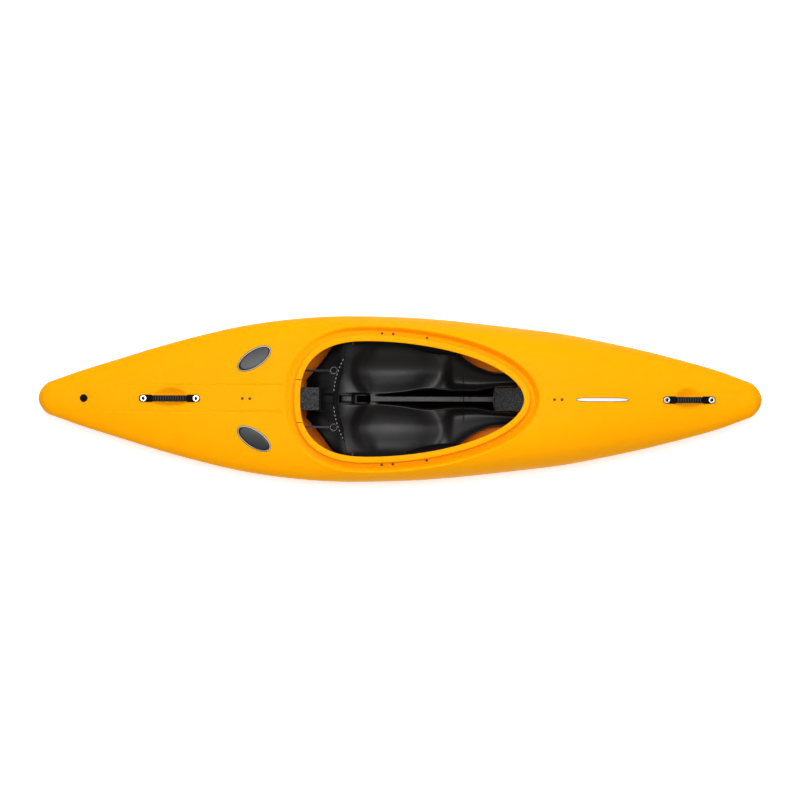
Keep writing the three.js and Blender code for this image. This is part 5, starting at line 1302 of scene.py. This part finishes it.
def pillar_top(x):
    offset = np.maximum(COCKPIT_REAR - x, x - COCKPIT_REAR - COCKPIT_LENGTH)
    deck = deck_height(x, PILLAR_HALF + 0 * x, WALL)
    under_ledge = np.minimum(deck, ledge_height(x) - WALL)
    return lerp(under_ledge, deck, smooth(offset, MOAT_FLOOR + WALL, MOAT)) - 3


def build_pillar(name, outline, material):
    """A block of foam cut to an outline in the boat's middle plane, its edges a little rounded."""
    points = [(x, y, z) for y in (-PILLAR_HALF, PILLAR_HALF) for x, z in outline]
    n = len(outline)
    faces = [tuple(range(n)), tuple(range(n, 2 * n))[::-1]]
    faces += [(k, k + n, (k + 1) % n + n, (k + 1) % n) for k in range(n)]
    piece = new_piece(name, points, faces, material)
    tidy(piece)
    return bevelled(piece, 2.2, 3, 40)


def front_outline():
    bottom = np.linspace(FRONT_FACE, FRONT_END, 26)
    top = np.linspace(FRONT_END, FRONT_TOP, 24)
    keel = keel_height(bottom, WALL) + 1.5
    return [*zip(bottom, keel), *zip(top, pillar_top(top)), (FRONT_FACE, FRONT_EDGE)]


def rear_outline():
    bottom = np.linspace(REAR_END, REAR_FOOT, 20)
    keel = keel_height(bottom, WALL) + 1.5
    top = np.linspace(COCKPIT_REAR, REAR_END, 22)
    heights = np.where(top < COCKPIT_REAR, pillar_top(top), np.maximum(pillar_top(top), SHELF_HIGH))
    shelf = [(REAR_FOOT, SHELF_LOW), (REAR_SHELF, SHELF_LOW), (REAR_SHELF, SHELF_HIGH)]
    return [*zip(bottom, keel), *shelf, *zip(top, heights)]


# Backband

BAND_CENTRE, BAND_RADIUS, BAND_ANGLE = -252.0, 325.0, 0.52
BAND_HEIGHT, BAND_TALL, BAND_TALL_END = 178, 112.0, 62.0
CHANNEL, EDGE_SEAM = 0.42, 0.9
ANCHOR_X, ANCHOR_Z = -178.0, 172.0
RING_OFFSET, RING_HEIGHT, RING_RADIUS, RING_WIRE = 107.0, 196.0, 12.5, 1.3
# The left rear strap's path, from behind its ring to its hidden end
REAR_WEBBING = [
    (-330, 105.7, 195), (-410, 105.7, 195.5), (-470, 80, 196), (-540, 46.3, 196), (-580, 44.8, 196),
]


def band_point(share, height, standoff):
    angle = BAND_ANGLE * share
    radius = BAND_RADIUS - standoff
    tall = lerp(BAND_TALL, BAND_TALL_END, abs(share) ** 4)
    return (
        BAND_CENTRE + BAND_RADIUS - radius * math.cos(angle),
        radius * math.sin(angle),
        BAND_HEIGHT + tall * (height - 0.5),
    )


def band_plate(name, material, low, high, inset, columns, rows, swell=None):
    """A closed plate between two standoffs of the band; swell, where given, sets its thickness instead."""
    shares = [
        (inset * (2 * i / columns - 1), 0.5 + inset * (j / rows - 0.5))
        for i in range(columns + 1)
        for j in range(rows + 1)
    ]
    points = [band_point(s, h, low) for s, h in shares]
    for s, h in shares:
        extra = swell(abs(s) / inset, abs(2 * h - 1) / inset) if swell else high - low
        points.append(band_point(s, h, low + extra))
    n, m = columns + 1, rows + 1
    back, front = grid_faces(n, m), grid_faces(n, m, n * m)
    faces = back + [f[::-1] for f in front]
    rim = [*range(m)] + [i * m + m - 1 for i in range(1, n)]
    rim += [(n - 1) * m + j for j in range(m - 2, -1, -1)] + [i * m for i in range(n - 2, 0, -1)]
    for a, b in zip(rim, rim[1:] + rim[:1]):
        faces.append((a, b, b + n * m, a + n * m))
    return tidy(new_piece(name, points, faces, material))


def pad_swell(across, up):
    crown = math.sqrt(max(0, 1 - min(1, across) ** 6) * max(0, 1 - min(1, up) ** 3))
    channel = math.exp(-(((across - CHANNEL) / 0.08) ** 2))
    return lerp(5.0, 15.0 * (1 - 0.12 * channel), crown)


def puffed(piece, cap, frames=20):
    """Swells a padded piece by a short cloth simulation, with no point moving further than the cap."""
    remesh = piece.modifiers.new("even mesh", "REMESH")
    remesh.mode = "VOXEL"
    remesh.voxel_size = 4 * MM
    even = piece.modifiers.new("even skin", "SMOOTH")
    even.factor = 0.5
    even.iterations = 6
    applied(piece)
    start = np.array([v.co for v in piece.data.vertices])
    cloth = piece.modifiers.new("cloth", "CLOTH")
    cloth.settings.use_pressure = True
    cloth.settings.uniform_pressure_force = 4
    cloth.settings.effector_weights.gravity = 0
    cloth.settings.quality = 4
    cloth.point_cache.frame_start, cloth.point_cache.frame_end = 1, frames
    scene = bpy.context.scene
    for number in range(1, frames + 1):
        scene.frame_set(number)
    graph = bpy.context.evaluated_depsgraph_get()
    settled = np.array([v.co for v in piece.evaluated_get(graph).data.vertices])
    piece.modifiers.clear()
    scene.frame_set(1)
    move = settled - start
    far = np.linalg.norm(move, axis=1)[:, None]
    move *= np.minimum(1, cap * MM / np.maximum(far, 1e-9))
    for vert, co in zip(piece.data.vertices, start + move):
        vert.co = co
    return piece


def band_channels(piece, depth):
    """Presses the sewn channels and the seam along the edge into the pad's face."""
    for vert in piece.data.vertices:
        x, y, z = vert.co / MM
        share = abs(math.asin(max(-1, min(1, y / (BAND_RADIUS - 4))))) / (BAND_ANGLE * 0.955)
        radius = math.hypot(x - BAND_CENTRE - BAND_RADIUS, y)
        front = smooth(BAND_RADIUS - radius, 7, 12)
        press = depth * math.exp(-(((share - CHANNEL) / 0.035) ** 2))
        press += 0.5 * depth * math.exp(-(((share - EDGE_SEAM) / 0.03) ** 2))
        grow = (radius + press * front) / radius
        vert.co = (
            (BAND_CENTRE + BAND_RADIUS + (x - BAND_CENTRE - BAND_RADIUS) * grow) * MM,
            y * grow * MM,
            z * MM,
        )
    return piece


def smooth_path(points, count):
    t = np.linspace(0, 1, count)
    return np.array(spline([np.array(p, float) for p in points], t))


def anchor_wall():
    """How far out the seat's side wall stands at the backband's anchors."""
    section = seat_half(np.array([ANCHOR_X]))[:, 0, :]
    for low, high in zip(section[:-1], section[1:]):
        if high[1] >= ANCHOR_Z > low[1] and high[0] > SEAT_HALF / 2:
            return float(lerp(low[0], high[0], (ANCHOR_Z - low[1]) / (high[1] - low[1])))
    raise ValueError("the seat's wall doesn't reach the anchors")


# Handles

STRAP_GAP, STRAP_TOP, STRAP_MIDDLE, STRAP_THICKNESS = 0.8, 3.4, 1.7, 3.0
HANDLE_RISE, WASHER_RADIUS = 15, 11.5
GRIP_HALF_WIDTH, GRIP_HALF_HEIGHT, RIB_DEPTH, RIB_SPACING = 12.4, 7.3, 1.7, 9.4
HANDLES = {
    "bow": {"centre": 1086.0, "length": 196.0, "spacing": 169.0, "grip": 92.0},
    "stern": {"centre": -866.0, "length": 228.0, "spacing": 198.0, "grip": 122.0},
}


def handle_height(handle, x):
    share = np.clip((x - handle["centre"]) / (handle["spacing"] / 2 - WASHER_RADIUS), -1, 1)
    return deck_height(x, 0.0 * x) + STRAP_GAP + HANDLE_RISE * (1 - share**2) ** 1.5 + STRAP_TOP


def handle_screw(handle, end):
    x = handle["centre"] + end * handle["spacing"] / 2
    _, up = crown_frame(x)
    return Vector((x, 0, float(handle_height(handle, np.float64(x))))), up


def build_strap(name, handle, material):
    half = handle["length"] / 2
    s = np.linspace(-1, 1, 97)
    x = handle["centre"] + half * s
    grip = handle["grip"] / 2 + 0.4
    out = np.abs(s) * half
    past = np.maximum(0, out - (half - 14)) / 14
    width = lerp(21, 28, smooth(out, grip, grip + 8)) * np.sqrt(1 - 0.72 * past**2)
    path = np.stack([x, 0 * x, handle_height(handle, x) - STRAP_MIDDLE], axis=1)
    return strip(name, path, np.tile([0, 1, 0], (len(x), 1)), width, STRAP_THICKNESS, material)


def build_grip(name, handle, material):
    """A soft grip moulded over the strap, with round ribs across it."""
    ribs, around = round(handle["grip"] / RIB_SPACING), 40
    s = np.linspace(-0.5, 0.5, 8 * ribs * 2 + 1)
    points, crest_highlights = [], []
    for share in s:
        x = handle["centre"] + handle["grip"] * share
        wave = 0.5 + 0.5 * math.cos(2 * math.pi * ribs * share + math.pi)
        rib = RIB_DEPTH * (1 - wave**0.7)
        end = max(0, abs(share) - 0.485) / 0.015
        shrink = 1 - 0.1 * end**2
        z = float(handle_height(handle, np.float64(x))) - STRAP_MIDDLE
        # How much painted highlight each ring of the grip gets, most on the ribs' crests
        crest_highlights += [wave**2.2] * around
        for k in range(around):
            a = 2 * math.pi * k / around
            y = (GRIP_HALF_WIDTH - rib) * shrink * powered(math.cos(a), 0.85)
            up = (GRIP_HALF_HEIGHT - rib) * shrink * powered(math.sin(a), 0.9)
            points.append((x, y, z + up))
    faces = ring_faces(len(s), around)
    last = (len(s) - 1) * around
    faces.append(tuple(range(around)))
    faces.append(tuple(last + k for k in range(around))[::-1])
    piece = new_piece(name, points, faces, material)
    crest = piece.data.attributes.new("crest", "FLOAT", "POINT")
    crest.data.foreach_set("value", crest_highlights)
    return tidy(piece, sharp=50)


# Properties


class KayakHull(bpy.types.PropertyGroup):
    """How finely the shell is made."""

    ring_steps: IntProperty(
        name="Steps round the boat", description="Columns of the shell's mesh", default=256, min=96
    )
    deck_rows: IntProperty(
        name="Rows over the deck", description="Rows between the sheer and the moat", default=88, min=24
    )
    badge_length: FloatProperty(
        name="Badge length", description="Length of each plain oval on the stern deck", default=0.146,
        unit="LENGTH",
    )
    stripe_length: FloatProperty(
        name="Stripe length", description="Length of the plain stripe on the bow deck", default=0.2,
        unit="LENGTH",
    )


class KayakLooks(bpy.types.PropertyGroup):
    """Colours and finishes of the kayak's materials."""

    shell: FloatVectorProperty(
        name="Shell", description="Colour of the moulded shell", default=(1.0, 0.38, 0.0006), subtype="COLOR"
    )
    shell_shade: FloatVectorProperty(
        name="Shell shade", description="Colour of the shell's cloudier places",
        default=(1.0, 0.368, 0.0006), subtype="COLOR",
    )
    # Painted glow: a redder colour on the shell's inside that stands for light shining through it
    shell_inside_glow: FloatVectorProperty(
        name="Shell inside glow", description="Colour of the shell's inside, where light glows through it",
        default=(1.0, 0.25, 0.012), subtype="COLOR",
    )
    shell_roughness: FloatProperty(
        name="Shell roughness", description="Roughness of the shell", default=0.42, subtype="FACTOR"
    )
    seat: FloatVectorProperty(
        name="Seat", description="Colour of the moulded seat", default=(0.004, 0.004, 0.0043), subtype="COLOR"
    )
    seat_roughness: FloatProperty(
        name="Seat roughness", description="Roughness of the seat", default=0.5, subtype="FACTOR"
    )
    seat_gloss: FloatProperty(
        name="Seat gloss", description="How much the seat mirrors", default=0.52, subtype="FACTOR"
    )
    foam: FloatVectorProperty(
        name="Foam", description="Colour of the foam pillars", default=(0.03, 0.031, 0.032), subtype="COLOR"
    )
    cloth: FloatVectorProperty(
        name="Cloth", description="Colour of the backband's cover", default=(0.003, 0.003, 0.0033),
        subtype="COLOR",
    )
    strap: FloatVectorProperty(
        name="Straps", description="Colour of the thin rear straps", default=(0.045, 0.045, 0.05),
        subtype="COLOR",
    )


class KayakStudio(bpy.types.PropertyGroup):
    """The camera and the lamps."""

    distance: FloatProperty(
        name="Camera distance", description="Height of the camera", default=40.0, unit="LENGTH"
    )
    frame_width: FloatProperty(
        name="Frame width", description="What the picture spans at the sheer's height", default=3.0096,
        unit="LENGTH",
    )
    key: FloatProperty(
        name="Key lamp", description="Power of the large lamp over the left side", default=140.0
    )
    top: FloatProperty(name="Top lamp", description="Power of the long lamp overhead", default=155.0)
    fill: FloatProperty(name="Fill", description="Strength of the even light all round", default=0.6)


# Operators

SENSOR = 36
CAMERA_SHIFT, CAMERA_TURN = -0.0034, 0.0033
# Each lamp: where it is, where it points, and its length and width, in metres
KEY_LAMP = ((0.3, 3.2, 4.9), (0, 0, 0.1), (4.0, 2.2))
TOP_LAMP = ((0.0, 0.4, 5.6), (0, 0, 0), (3.4, 1.3))


class StageOperator(bpy.types.Operator):
    """Make the floor, the lamps and the camera"""

    bl_idname = "kayak.stage"
    bl_label = "Stage"

    def execute(self, context):
        scene = context.scene
        studio = scene.kayak_studio
        scene.view_settings.view_transform = "Standard"
        make_floor()
        make_world(studio.fill)
        make_lamp("key", *KEY_LAMP, studio.key)
        make_lamp("top", *TOP_LAMP, studio.top)
        camera = linked("camera", bpy.data.cameras.new("camera"))
        camera.data.sensor_width = SENSOR
        camera.data.lens = SENSOR * (studio.distance - SHEER * MM) / studio.frame_width
        camera.data.clip_end = 100
        camera.location = (0.0, CAMERA_SHIFT, studio.distance)
        camera.rotation_euler = (0, 0, CAMERA_TURN)
        scene.camera = camera
        return {"FINISHED"}


def make_floor():
    """A wide pale floor that reads as white and still takes the boat's shadow."""
    mesh = bpy.data.meshes.new("floor")
    mesh.from_pydata([(-40, -40, 0), (40, -40, 0), (40, 40, 0), (-40, 40, 0)], [], [(0, 1, 2, 3)])
    floor = linked("floor", mesh)
    material = bpy.data.materials.new("pale floor")
    material.use_nodes = True
    nodes = Nodes(material.node_tree)
    shader = material.node_tree.nodes["Principled BSDF"]
    shader.inputs["Base Color"].default_value = (0.86, 0.86, 0.86, 1)
    shader.inputs["Roughness"].default_value = 0.9
    shader.inputs["Specular IOR Level"].default_value = 0.1
    shader.inputs["Emission Color"].default_value = (1, 1, 1, 1)
    path = nodes.add("ShaderNodeLightPath")
    seen = nodes.maths("MAXIMUM", path.outputs["Is Camera Ray"], path.outputs["Is Glossy Ray"])
    seen = nodes.maths("MAXIMUM", seen, path.outputs["Is Transmission Ray"])
    nodes.set(shader, "Emission Strength", nodes.maths("MULTIPLY", seen, 0.5))
    mesh.materials.append(material)


def make_world(strength):
    world = bpy.data.worlds.new("studio")
    bpy.context.scene.world = world
    world.use_nodes = True
    nodes = Nodes(world.node_tree)
    background = world.node_tree.nodes["Background"]
    background.inputs["Color"].default_value = (1, 1, 1, 1)
    where = nodes.add("ShaderNodeTexCoord")
    parts = nodes.add("ShaderNodeSeparateXYZ", {"Vector": where.outputs["Generated"]})
    sky = nodes.ramp(parts.outputs[2], 0.6, 0.97, strength, strength * 0.5)
    path = nodes.add("ShaderNodeLightPath")
    lift = nodes.maths("MULTIPLY", path.outputs["Is Camera Ray"], nodes.maths("SUBTRACT", 1.0, sky))
    nodes.set(background, "Strength", nodes.maths("ADD", sky, lift))


def make_lamp(name, place, aim, size, power):
    lamp = bpy.data.lights.new(name, "AREA")
    lamp.shape = "RECTANGLE"
    lamp.size, lamp.size_y = size
    lamp.energy = power
    piece = linked(name, lamp)
    piece.location = place
    piece.rotation_euler = (Vector(aim) - Vector(place)).to_track_quat("-Z", "Y").to_euler()


class HullOperator(bpy.types.Operator):
    """Make the moulded shell with its coaming, moat, finger wells and deck lines"""

    bl_idname = "kayak.hull"
    bl_label = "Hull"

    def execute(self, context):
        hull = build_shell(shell_plastic())
        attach(hull, "hull")
        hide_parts("hull_shell")
        return {"FINISHED"}


BADGE_X, BADGE_Y, BADGE_TILT, BADGE_FLATNESS = -548.0, 150.5, 33.6, 0.53
STRIPE_X, STRIPE_HALF_WIDTH = 759, 8.5


class BadgesOperator(bpy.types.Operator):
    """Make the plain ovals on the stern deck and the plain stripe on the bow deck"""

    bl_idname = "kayak.badges"
    bl_label = "Badges"

    def execute(self, context):
        settings = context.scene.kayak_hull
        dark = moulded(
            "badge black", (0.006, 0.006, 0.006), (0.01, 0.01, 0.01), 0.35, grain=1200.0, bump=0.05,
            scuffs=0.4,
        )
        pale = moulded(
            "badge white", (0.75, 0.75, 0.72), (0.6, 0.6, 0.57), 0.4, grain=1200.0, bump=0.05, scuffs=0.3
        )
        half = settings.badge_length / MM / 2
        for side_name, side in SIDES.items():
            tilt = side * math.radians(BADGE_TILT)
            layers = [(half, dark, 0.3), (half - 2.4, pale, 0.42), (half - 4.6, dark, 0.54)]
            for number, (reach, material, lift) in enumerate(layers):
                outline = ellipse(BADGE_X, side * BADGE_Y, reach, reach - half * BADGE_FLATNESS, tilt)
                film = deck_patch(f"badge_{side_name}_{number}", outline, material, lift)
                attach(film, "hull")
        reach = settings.stripe_length / MM / 2
        t = np.linspace(0, 2 * math.pi, 96, endpoint=False)
        blunt = list(zip(powered(np.cos(t), 0.5), powered(np.sin(t), 0.8)))
        for number, (grow, material, lift) in enumerate([(0, dark, 0.3), (-2.2, pale, 0.42)]):
            outline = [(STRIPE_X + (reach + grow) * c, (STRIPE_HALF_WIDTH + grow) * s) for c, s in blunt]
            film = deck_patch(f"bow_stripe_{number}", outline, material, lift)
            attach(film, "hull")
        return {"FINISHED"}


class SeatOperator(bpy.types.Operator):
    """Make the moulded seat"""

    bl_idname = "kayak.seat"
    bl_label = "Seat"

    def execute(self, context):
        seat = build_seat(seat_plastic())
        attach(seat, "hull")
        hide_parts("seat_pan")
        return {"FINISHED"}


class PillarsOperator(bpy.types.Operator):
    """Make the two foam pillars and the bracket on the rear one"""

    bl_idname = "kayak.pillars"
    bl_label = "Pillars"

    def execute(self, context):
        for name, outline in (("front_pillar", front_outline()), ("rear_pillar", rear_outline())):
            piece = build_pillar(name + "_foam", outline, foam())
            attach(piece, "hull")
            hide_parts(name)
        bracket = bevelled(copy_of_node("bracket", "pillar_bracket", black_plastic()), 1.4)
        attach(bracket, "hull")
        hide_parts("pillar_bracket")
        return {"FINISHED"}


class BackbandOperator(bpy.types.Operator):
    """Make the backband: its stiff back, pad, side straps, rings and rear straps"""

    bl_idname = "kayak.backband"
    bl_label = "Backband"

    def execute(self, context):
        back = band_plate("backband_back", black_plastic(), 0, 4.0, 1.0, 48, 14)
        bevelled(back, 1.2, 2, 50)
        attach(back, "backband")
        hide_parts("backband_shell")
        pad = band_plate("backband_cushion", pad_cloth(), 4.6, 0, 0.94, 60, 22, pad_swell)
        puffed(pad, 3.0)
        band_channels(pad, 1.8)
        finer(pad)
        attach(pad, "backband")
        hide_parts("backband_pad")
        self.stitches()
        for side_name, side in SIDES.items():
            self.straps(side_name, side)
        return {"FINISHED"}

    def stitches(self):
        """The thread that shows along the top edge of the backband's back."""
        places = []
        for share in np.arange(0.2, 0.95, 0.088):
            for side in SIDES.values():
                here = Vector(band_point(side * share, 1.0, 2.0))
                ahead = Vector(band_point(side * (share + 0.01), 1.0, 2.0))
                places.append((here + Vector((0, 0, 0.5)), (ahead - here).normalized()))
        stitch = template_of("stitch", *turned([(0, -4), (0.9, -3.4), (0.9, 3.4), (0, 4)], 12))
        thread = woven("stitch thread", (0.3, 0.3, 0.31), 900.0)
        piece = repeated("band_stitches", stitch, placed_on(places), thread)
        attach(piece, "backband")

    def straps(self, side_name, side):
        wall = anchor_wall() - SEAT_WALL
        ex, ey, ez = band_point(1, 0.5, 0)
        path = smooth_path([
            (ex + 0.4, ey + 1.6, ez), (-200, wall - 9, 174), (-190.5, wall - 2.2, ANCHOR_Z),
            (ANCHOR_X, wall - 1.4, ANCHOR_Z), (-165.5, wall - 1.4, ANCHOR_Z),
        ], 40)
        path[:, 1] *= side
        upright = np.tile([0, 0, 1], (len(path), 1))
        strap = strip(f"side_strap_{side_name}", path, upright, 25, 2.4, webbing())
        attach(strap, "backband")
        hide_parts(f"backband_strap_{side_name}")
        share = math.asin(RING_OFFSET / BAND_RADIUS) / BAND_ANGLE
        ring_x = band_point(share, 0.5, -3.0)[0] - RING_RADIUS
        points, faces = torus((ring_x, side * RING_OFFSET, RING_HEIGHT), RING_RADIUS, RING_WIRE)
        steel_wire = metal("ring steel", (0.14, 0.14, 0.15), 0.3)
        ring = tidy(new_piece(f"band_ring_{side_name}", points, faces, steel_wire))
        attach(ring, "backband")
        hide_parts(f"backband_ring_{side_name}")
        ring_end = band_point(share, 0.5, -2.2)[0] - 2 * RING_RADIUS - 3.6
        path = smooth_path([(ring_end, 105.7, 196), *REAR_WEBBING], 80)
        path[:, 1] *= side
        lean = smooth(path[:, 0], -520, -430) * math.radians(20)
        across = np.stack([0 * lean, side * np.sin(lean), np.cos(lean)], axis=1)
        grey = woven("thin webbing", tuple(bpy.context.scene.kayak_looks.strap), 800.0)
        rear = strip(f"rear_webbing_{side_name}", path, across, 20, 2.2, grey)
        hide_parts(f"rear_strap_{side_name}")
        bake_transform(rear)


def torus(centre, radius, wire, steps=56, around=14):
    points = []
    for i in range(steps):
        a = 2 * math.pi * i / steps
        for k in range(around):
            b = 2 * math.pi * k / around
            r = radius + wire * math.cos(b)
            points.append(np.array(centre) + (r * math.cos(a), r * math.sin(a), wire * math.sin(b)))
    return points, ring_faces(steps, around, joined=True)


# Each screw: radius and height of its head, radius of its recess, radius and length of its shank
SMALL_SCREW, HANDLE_SCREW = (5.5, 3.2, 2.1, 2.5, 20), (6.5, 3.2, 2.6, 3, 26)
ANCHOR_SCREW, RAIL_SCREW = (6.5, 3.2, 2.4, 2.5, 20), (8, 3, 2.8, 3, 26)
STRAP_STEP = 3.9
# Outlines as pairs of radius and height
WASHER = [
    (3.5, 0), (11.2, 0), (11.5, 0.4), (11.5, 1.2), (11.1, 1.7), (9.5, 1.8), (4.0, 1.8), (3.5, 1.5), (3.5, 0),
]
BUSH = [
    (8.4, -15), (10.6, -15), (11, -14.6), (11, 0), (14.2, 0), (14.5, 0.3), (14.5, 1.6), (14.0, 2),
    (8.9, 2), (8.4, 1.5), (8.4, -15),
]


class ScrewsOperator(bpy.types.Operator):
    """Make every screw, washer and bolt"""

    bl_idname = "kayak.screws"
    bl_label = "Screws"

    def execute(self, context):
        small = small_screws()
        screw = template_of("small_screw", *turned(domed_head(*SMALL_SCREW), 32))
        piece = repeated("deck_screws", screw, placed_on(small.values(), -1.0), steel())
        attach(piece, "hull")
        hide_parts(*small)
        self.recess_shadows("deck_screw_recesses", placed_on(small.values(), 1.3), 1.7)
        self.handle_screws()
        self.anchor_screws()
        self.rail_bolts()
        return {"FINISHED"}

    def recess_shadows(self, name, rows, radius):
        """A dark disc in the drive recess of every head of a row of screws: painted shadow of the recess."""
        outline = [(0, 0), (radius, 0), (radius, 0.3), (radius - 0.3, 0.5), (0, 0.5)]
        piece = repeated(name, template_of("recess", *turned(outline, 24)), rows, painted_recess_shadow())
        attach(piece, "hull")

    def handle_screws(self):
        seats, washers, names, washer_names = [], [], [], []
        for end_name, handle in HANDLES.items():
            for place_name, end in (("rear", -1), ("front", 1)):
                place, up = handle_screw(handle, end)
                washers.append((place + up * 0.4, up))
                seats.append((place + up * 2.6, up))
                names.append(f"{end_name}_handle_screw_{place_name}")
                washer_names.append(f"{end_name}_handle_washer_{place_name}")
        screw = template_of("handle_screw", *turned(domed_head(*HANDLE_SCREW), 40))
        piece = repeated("handle_screws", screw, placed_on(seats), bolt_steel())
        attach(piece, "hull")
        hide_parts(*names)
        self.recess_shadows("handle_screw_recesses", placed_on(seats, 2.3), 3.7)
        pressed = metal("washer steel", (0.93, 0.93, 0.94), 0.3)
        template = template_of("washer", *turned(WASHER, 48))
        washer = repeated("handle_washers", template, placed_on(washers), pressed)
        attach(washer, "hull")
        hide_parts(*washer_names)

    def anchor_screws(self):
        wall = anchor_wall() - SEAT_WALL - STRAP_STEP - 0.4
        places = [
            (Vector((ANCHOR_X, side * wall, ANCHOR_Z)), Vector((0, -side, 0))) for side in SIDES.values()
        ]
        screw = template_of("anchor_screw", *turned(domed_head(*ANCHOR_SCREW), 40))
        piece = repeated("anchor_screws", screw, placed_on(places), steel())
        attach(piece, "hull")
        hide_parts("backband_screw_left", "backband_screw_right")

    def rail_bolts(self):
        places = [bolt for side in SIDES.values() for bolt in rail_bolts(side)]
        bolt = template_of("rail_bolt", *turned(domed_head(*RAIL_SCREW), 40))
        piece = repeated("rail_bolts", bolt, placed_on(places, -2.8), steel())
        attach(piece, "hull")
        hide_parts(*[f"rail_bolt_{side}_{end}" for side in SIDES for end in ("rear", "front")])


class HandlesOperator(bpy.types.Operator):
    """Make the two grab handles"""

    bl_idname = "kayak.handles"
    bl_label = "Handles"

    def execute(self, context):
        for name, handle in HANDLES.items():
            strap = build_strap(f"{name}_webbing", handle, webbing())
            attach(strap, "hull")
            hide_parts(f"{name}_handle_strap")
            grip = build_grip(f"{name}_grip", handle, rubber())
            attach(grip, "hull")
            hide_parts(f"{name}_handle_grip")
        return {"FINISHED"}


class DrainOperator(bpy.types.Operator):
    """Make the drain's bush and its plug"""

    bl_idname = "kayak.drain"
    bl_label = "Drain"

    def execute(self, context):
        place, up = crown_frame(DRAIN)
        points, faces = turned(BUSH, 64)
        bush = tidy(new_piece("bush", stood(points, place - up * 2.2, up), faces, black_plastic()), sharp=40)
        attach(bush, "hull")
        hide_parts("drain_bush")
        plug = bevelled(copy_of_node("plug", "drain_plug", rubber()), 0.6, 2)
        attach(plug, "plug")
        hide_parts("drain_plug")
        return {"FINISHED"}


class BracesOperator(bpy.types.Operator):
    """Make the thigh braces under the coaming's sides"""

    bl_idname = "kayak.braces"
    bl_label = "Thigh braces"

    def execute(self, context):
        for side in SIDES:
            brace = copy_of_node(f"brace_{side}", f"thigh_brace_{side}", black_plastic())
            bevelled(brace, 1.2, 2, 30)
            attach(brace, "hull")
            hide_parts(f"thigh_brace_{side}")
        return {"FINISHED"}


class FootrestsOperator(bpy.types.Operator):
    """Make the foot rails, pedals and their lock levers"""

    bl_idname = "kayak.footrests"
    bl_label = "Footrests"

    def execute(self, context):
        drawn = metal("rail aluminium", (0.55, 0.56, 0.58), 0.38)
        for side in SIDES:
            for name, node, material, body, slot, width in (
                ("rail", "foot_rail", drawn, "hull", "aluminium", 1.2),
                ("pedal", "foot_pedal", black_plastic(), f"{side}_pedal", "black", 1.4),
                ("lever", "pedal_lever", rubber(), f"{side}_lever", "rubber", 1.2),
            ):
                piece = bevelled(copy_of_node(f"{name}_{side}", f"{node}_{side}", material), width)
                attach(piece, body)
                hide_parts(f"{node}_{side}")
        return {"FINISHED"}


OPERATORS = (
    StageOperator, HullOperator, BadgesOperator, SeatOperator, PillarsOperator, BackbandOperator,
    HandlesOperator, ScrewsOperator, DrainOperator, BracesOperator, FootrestsOperator,
)


class KayakPanel(bpy.types.Panel):
    """Lists the kayak's pieces"""

    bl_idname = "VIEW3D_PT_kayak"
    bl_label = "Whitewater kayak"
    bl_space_type = "VIEW_3D"
    bl_region_type = "UI"
    bl_category = "Kayak"

    def draw(self, context):
        for group in (context.scene.kayak_hull, context.scene.kayak_looks, context.scene.kayak_studio):
            box = self.layout.box()
            for name in group.__annotations__:
                box.prop(group, name)
        for operator in OPERATORS:
            self.layout.operator(operator.bl_idname)


GROUPS = {"kayak_hull": KayakHull, "kayak_looks": KayakLooks, "kayak_studio": KayakStudio}


def register():
    for cls in (*GROUPS.values(), *OPERATORS, KayakPanel):
        bpy.utils.register_class(cls)
    for name, group in GROUPS.items():
        setattr(bpy.types.Scene, name, PointerProperty(type=group))


def unregister():
    for name in GROUPS:
        delattr(bpy.types.Scene, name)
    for cls in reversed((*GROUPS.values(), *OPERATORS, KayakPanel)):
        bpy.utils.unregister_class(cls)


def main():
    register()
    for operator in OPERATORS:
        group, name = operator.bl_idname.split(".")
        getattr(getattr(bpy.ops, group), name)()


if __name__ == "__main__":
    main()
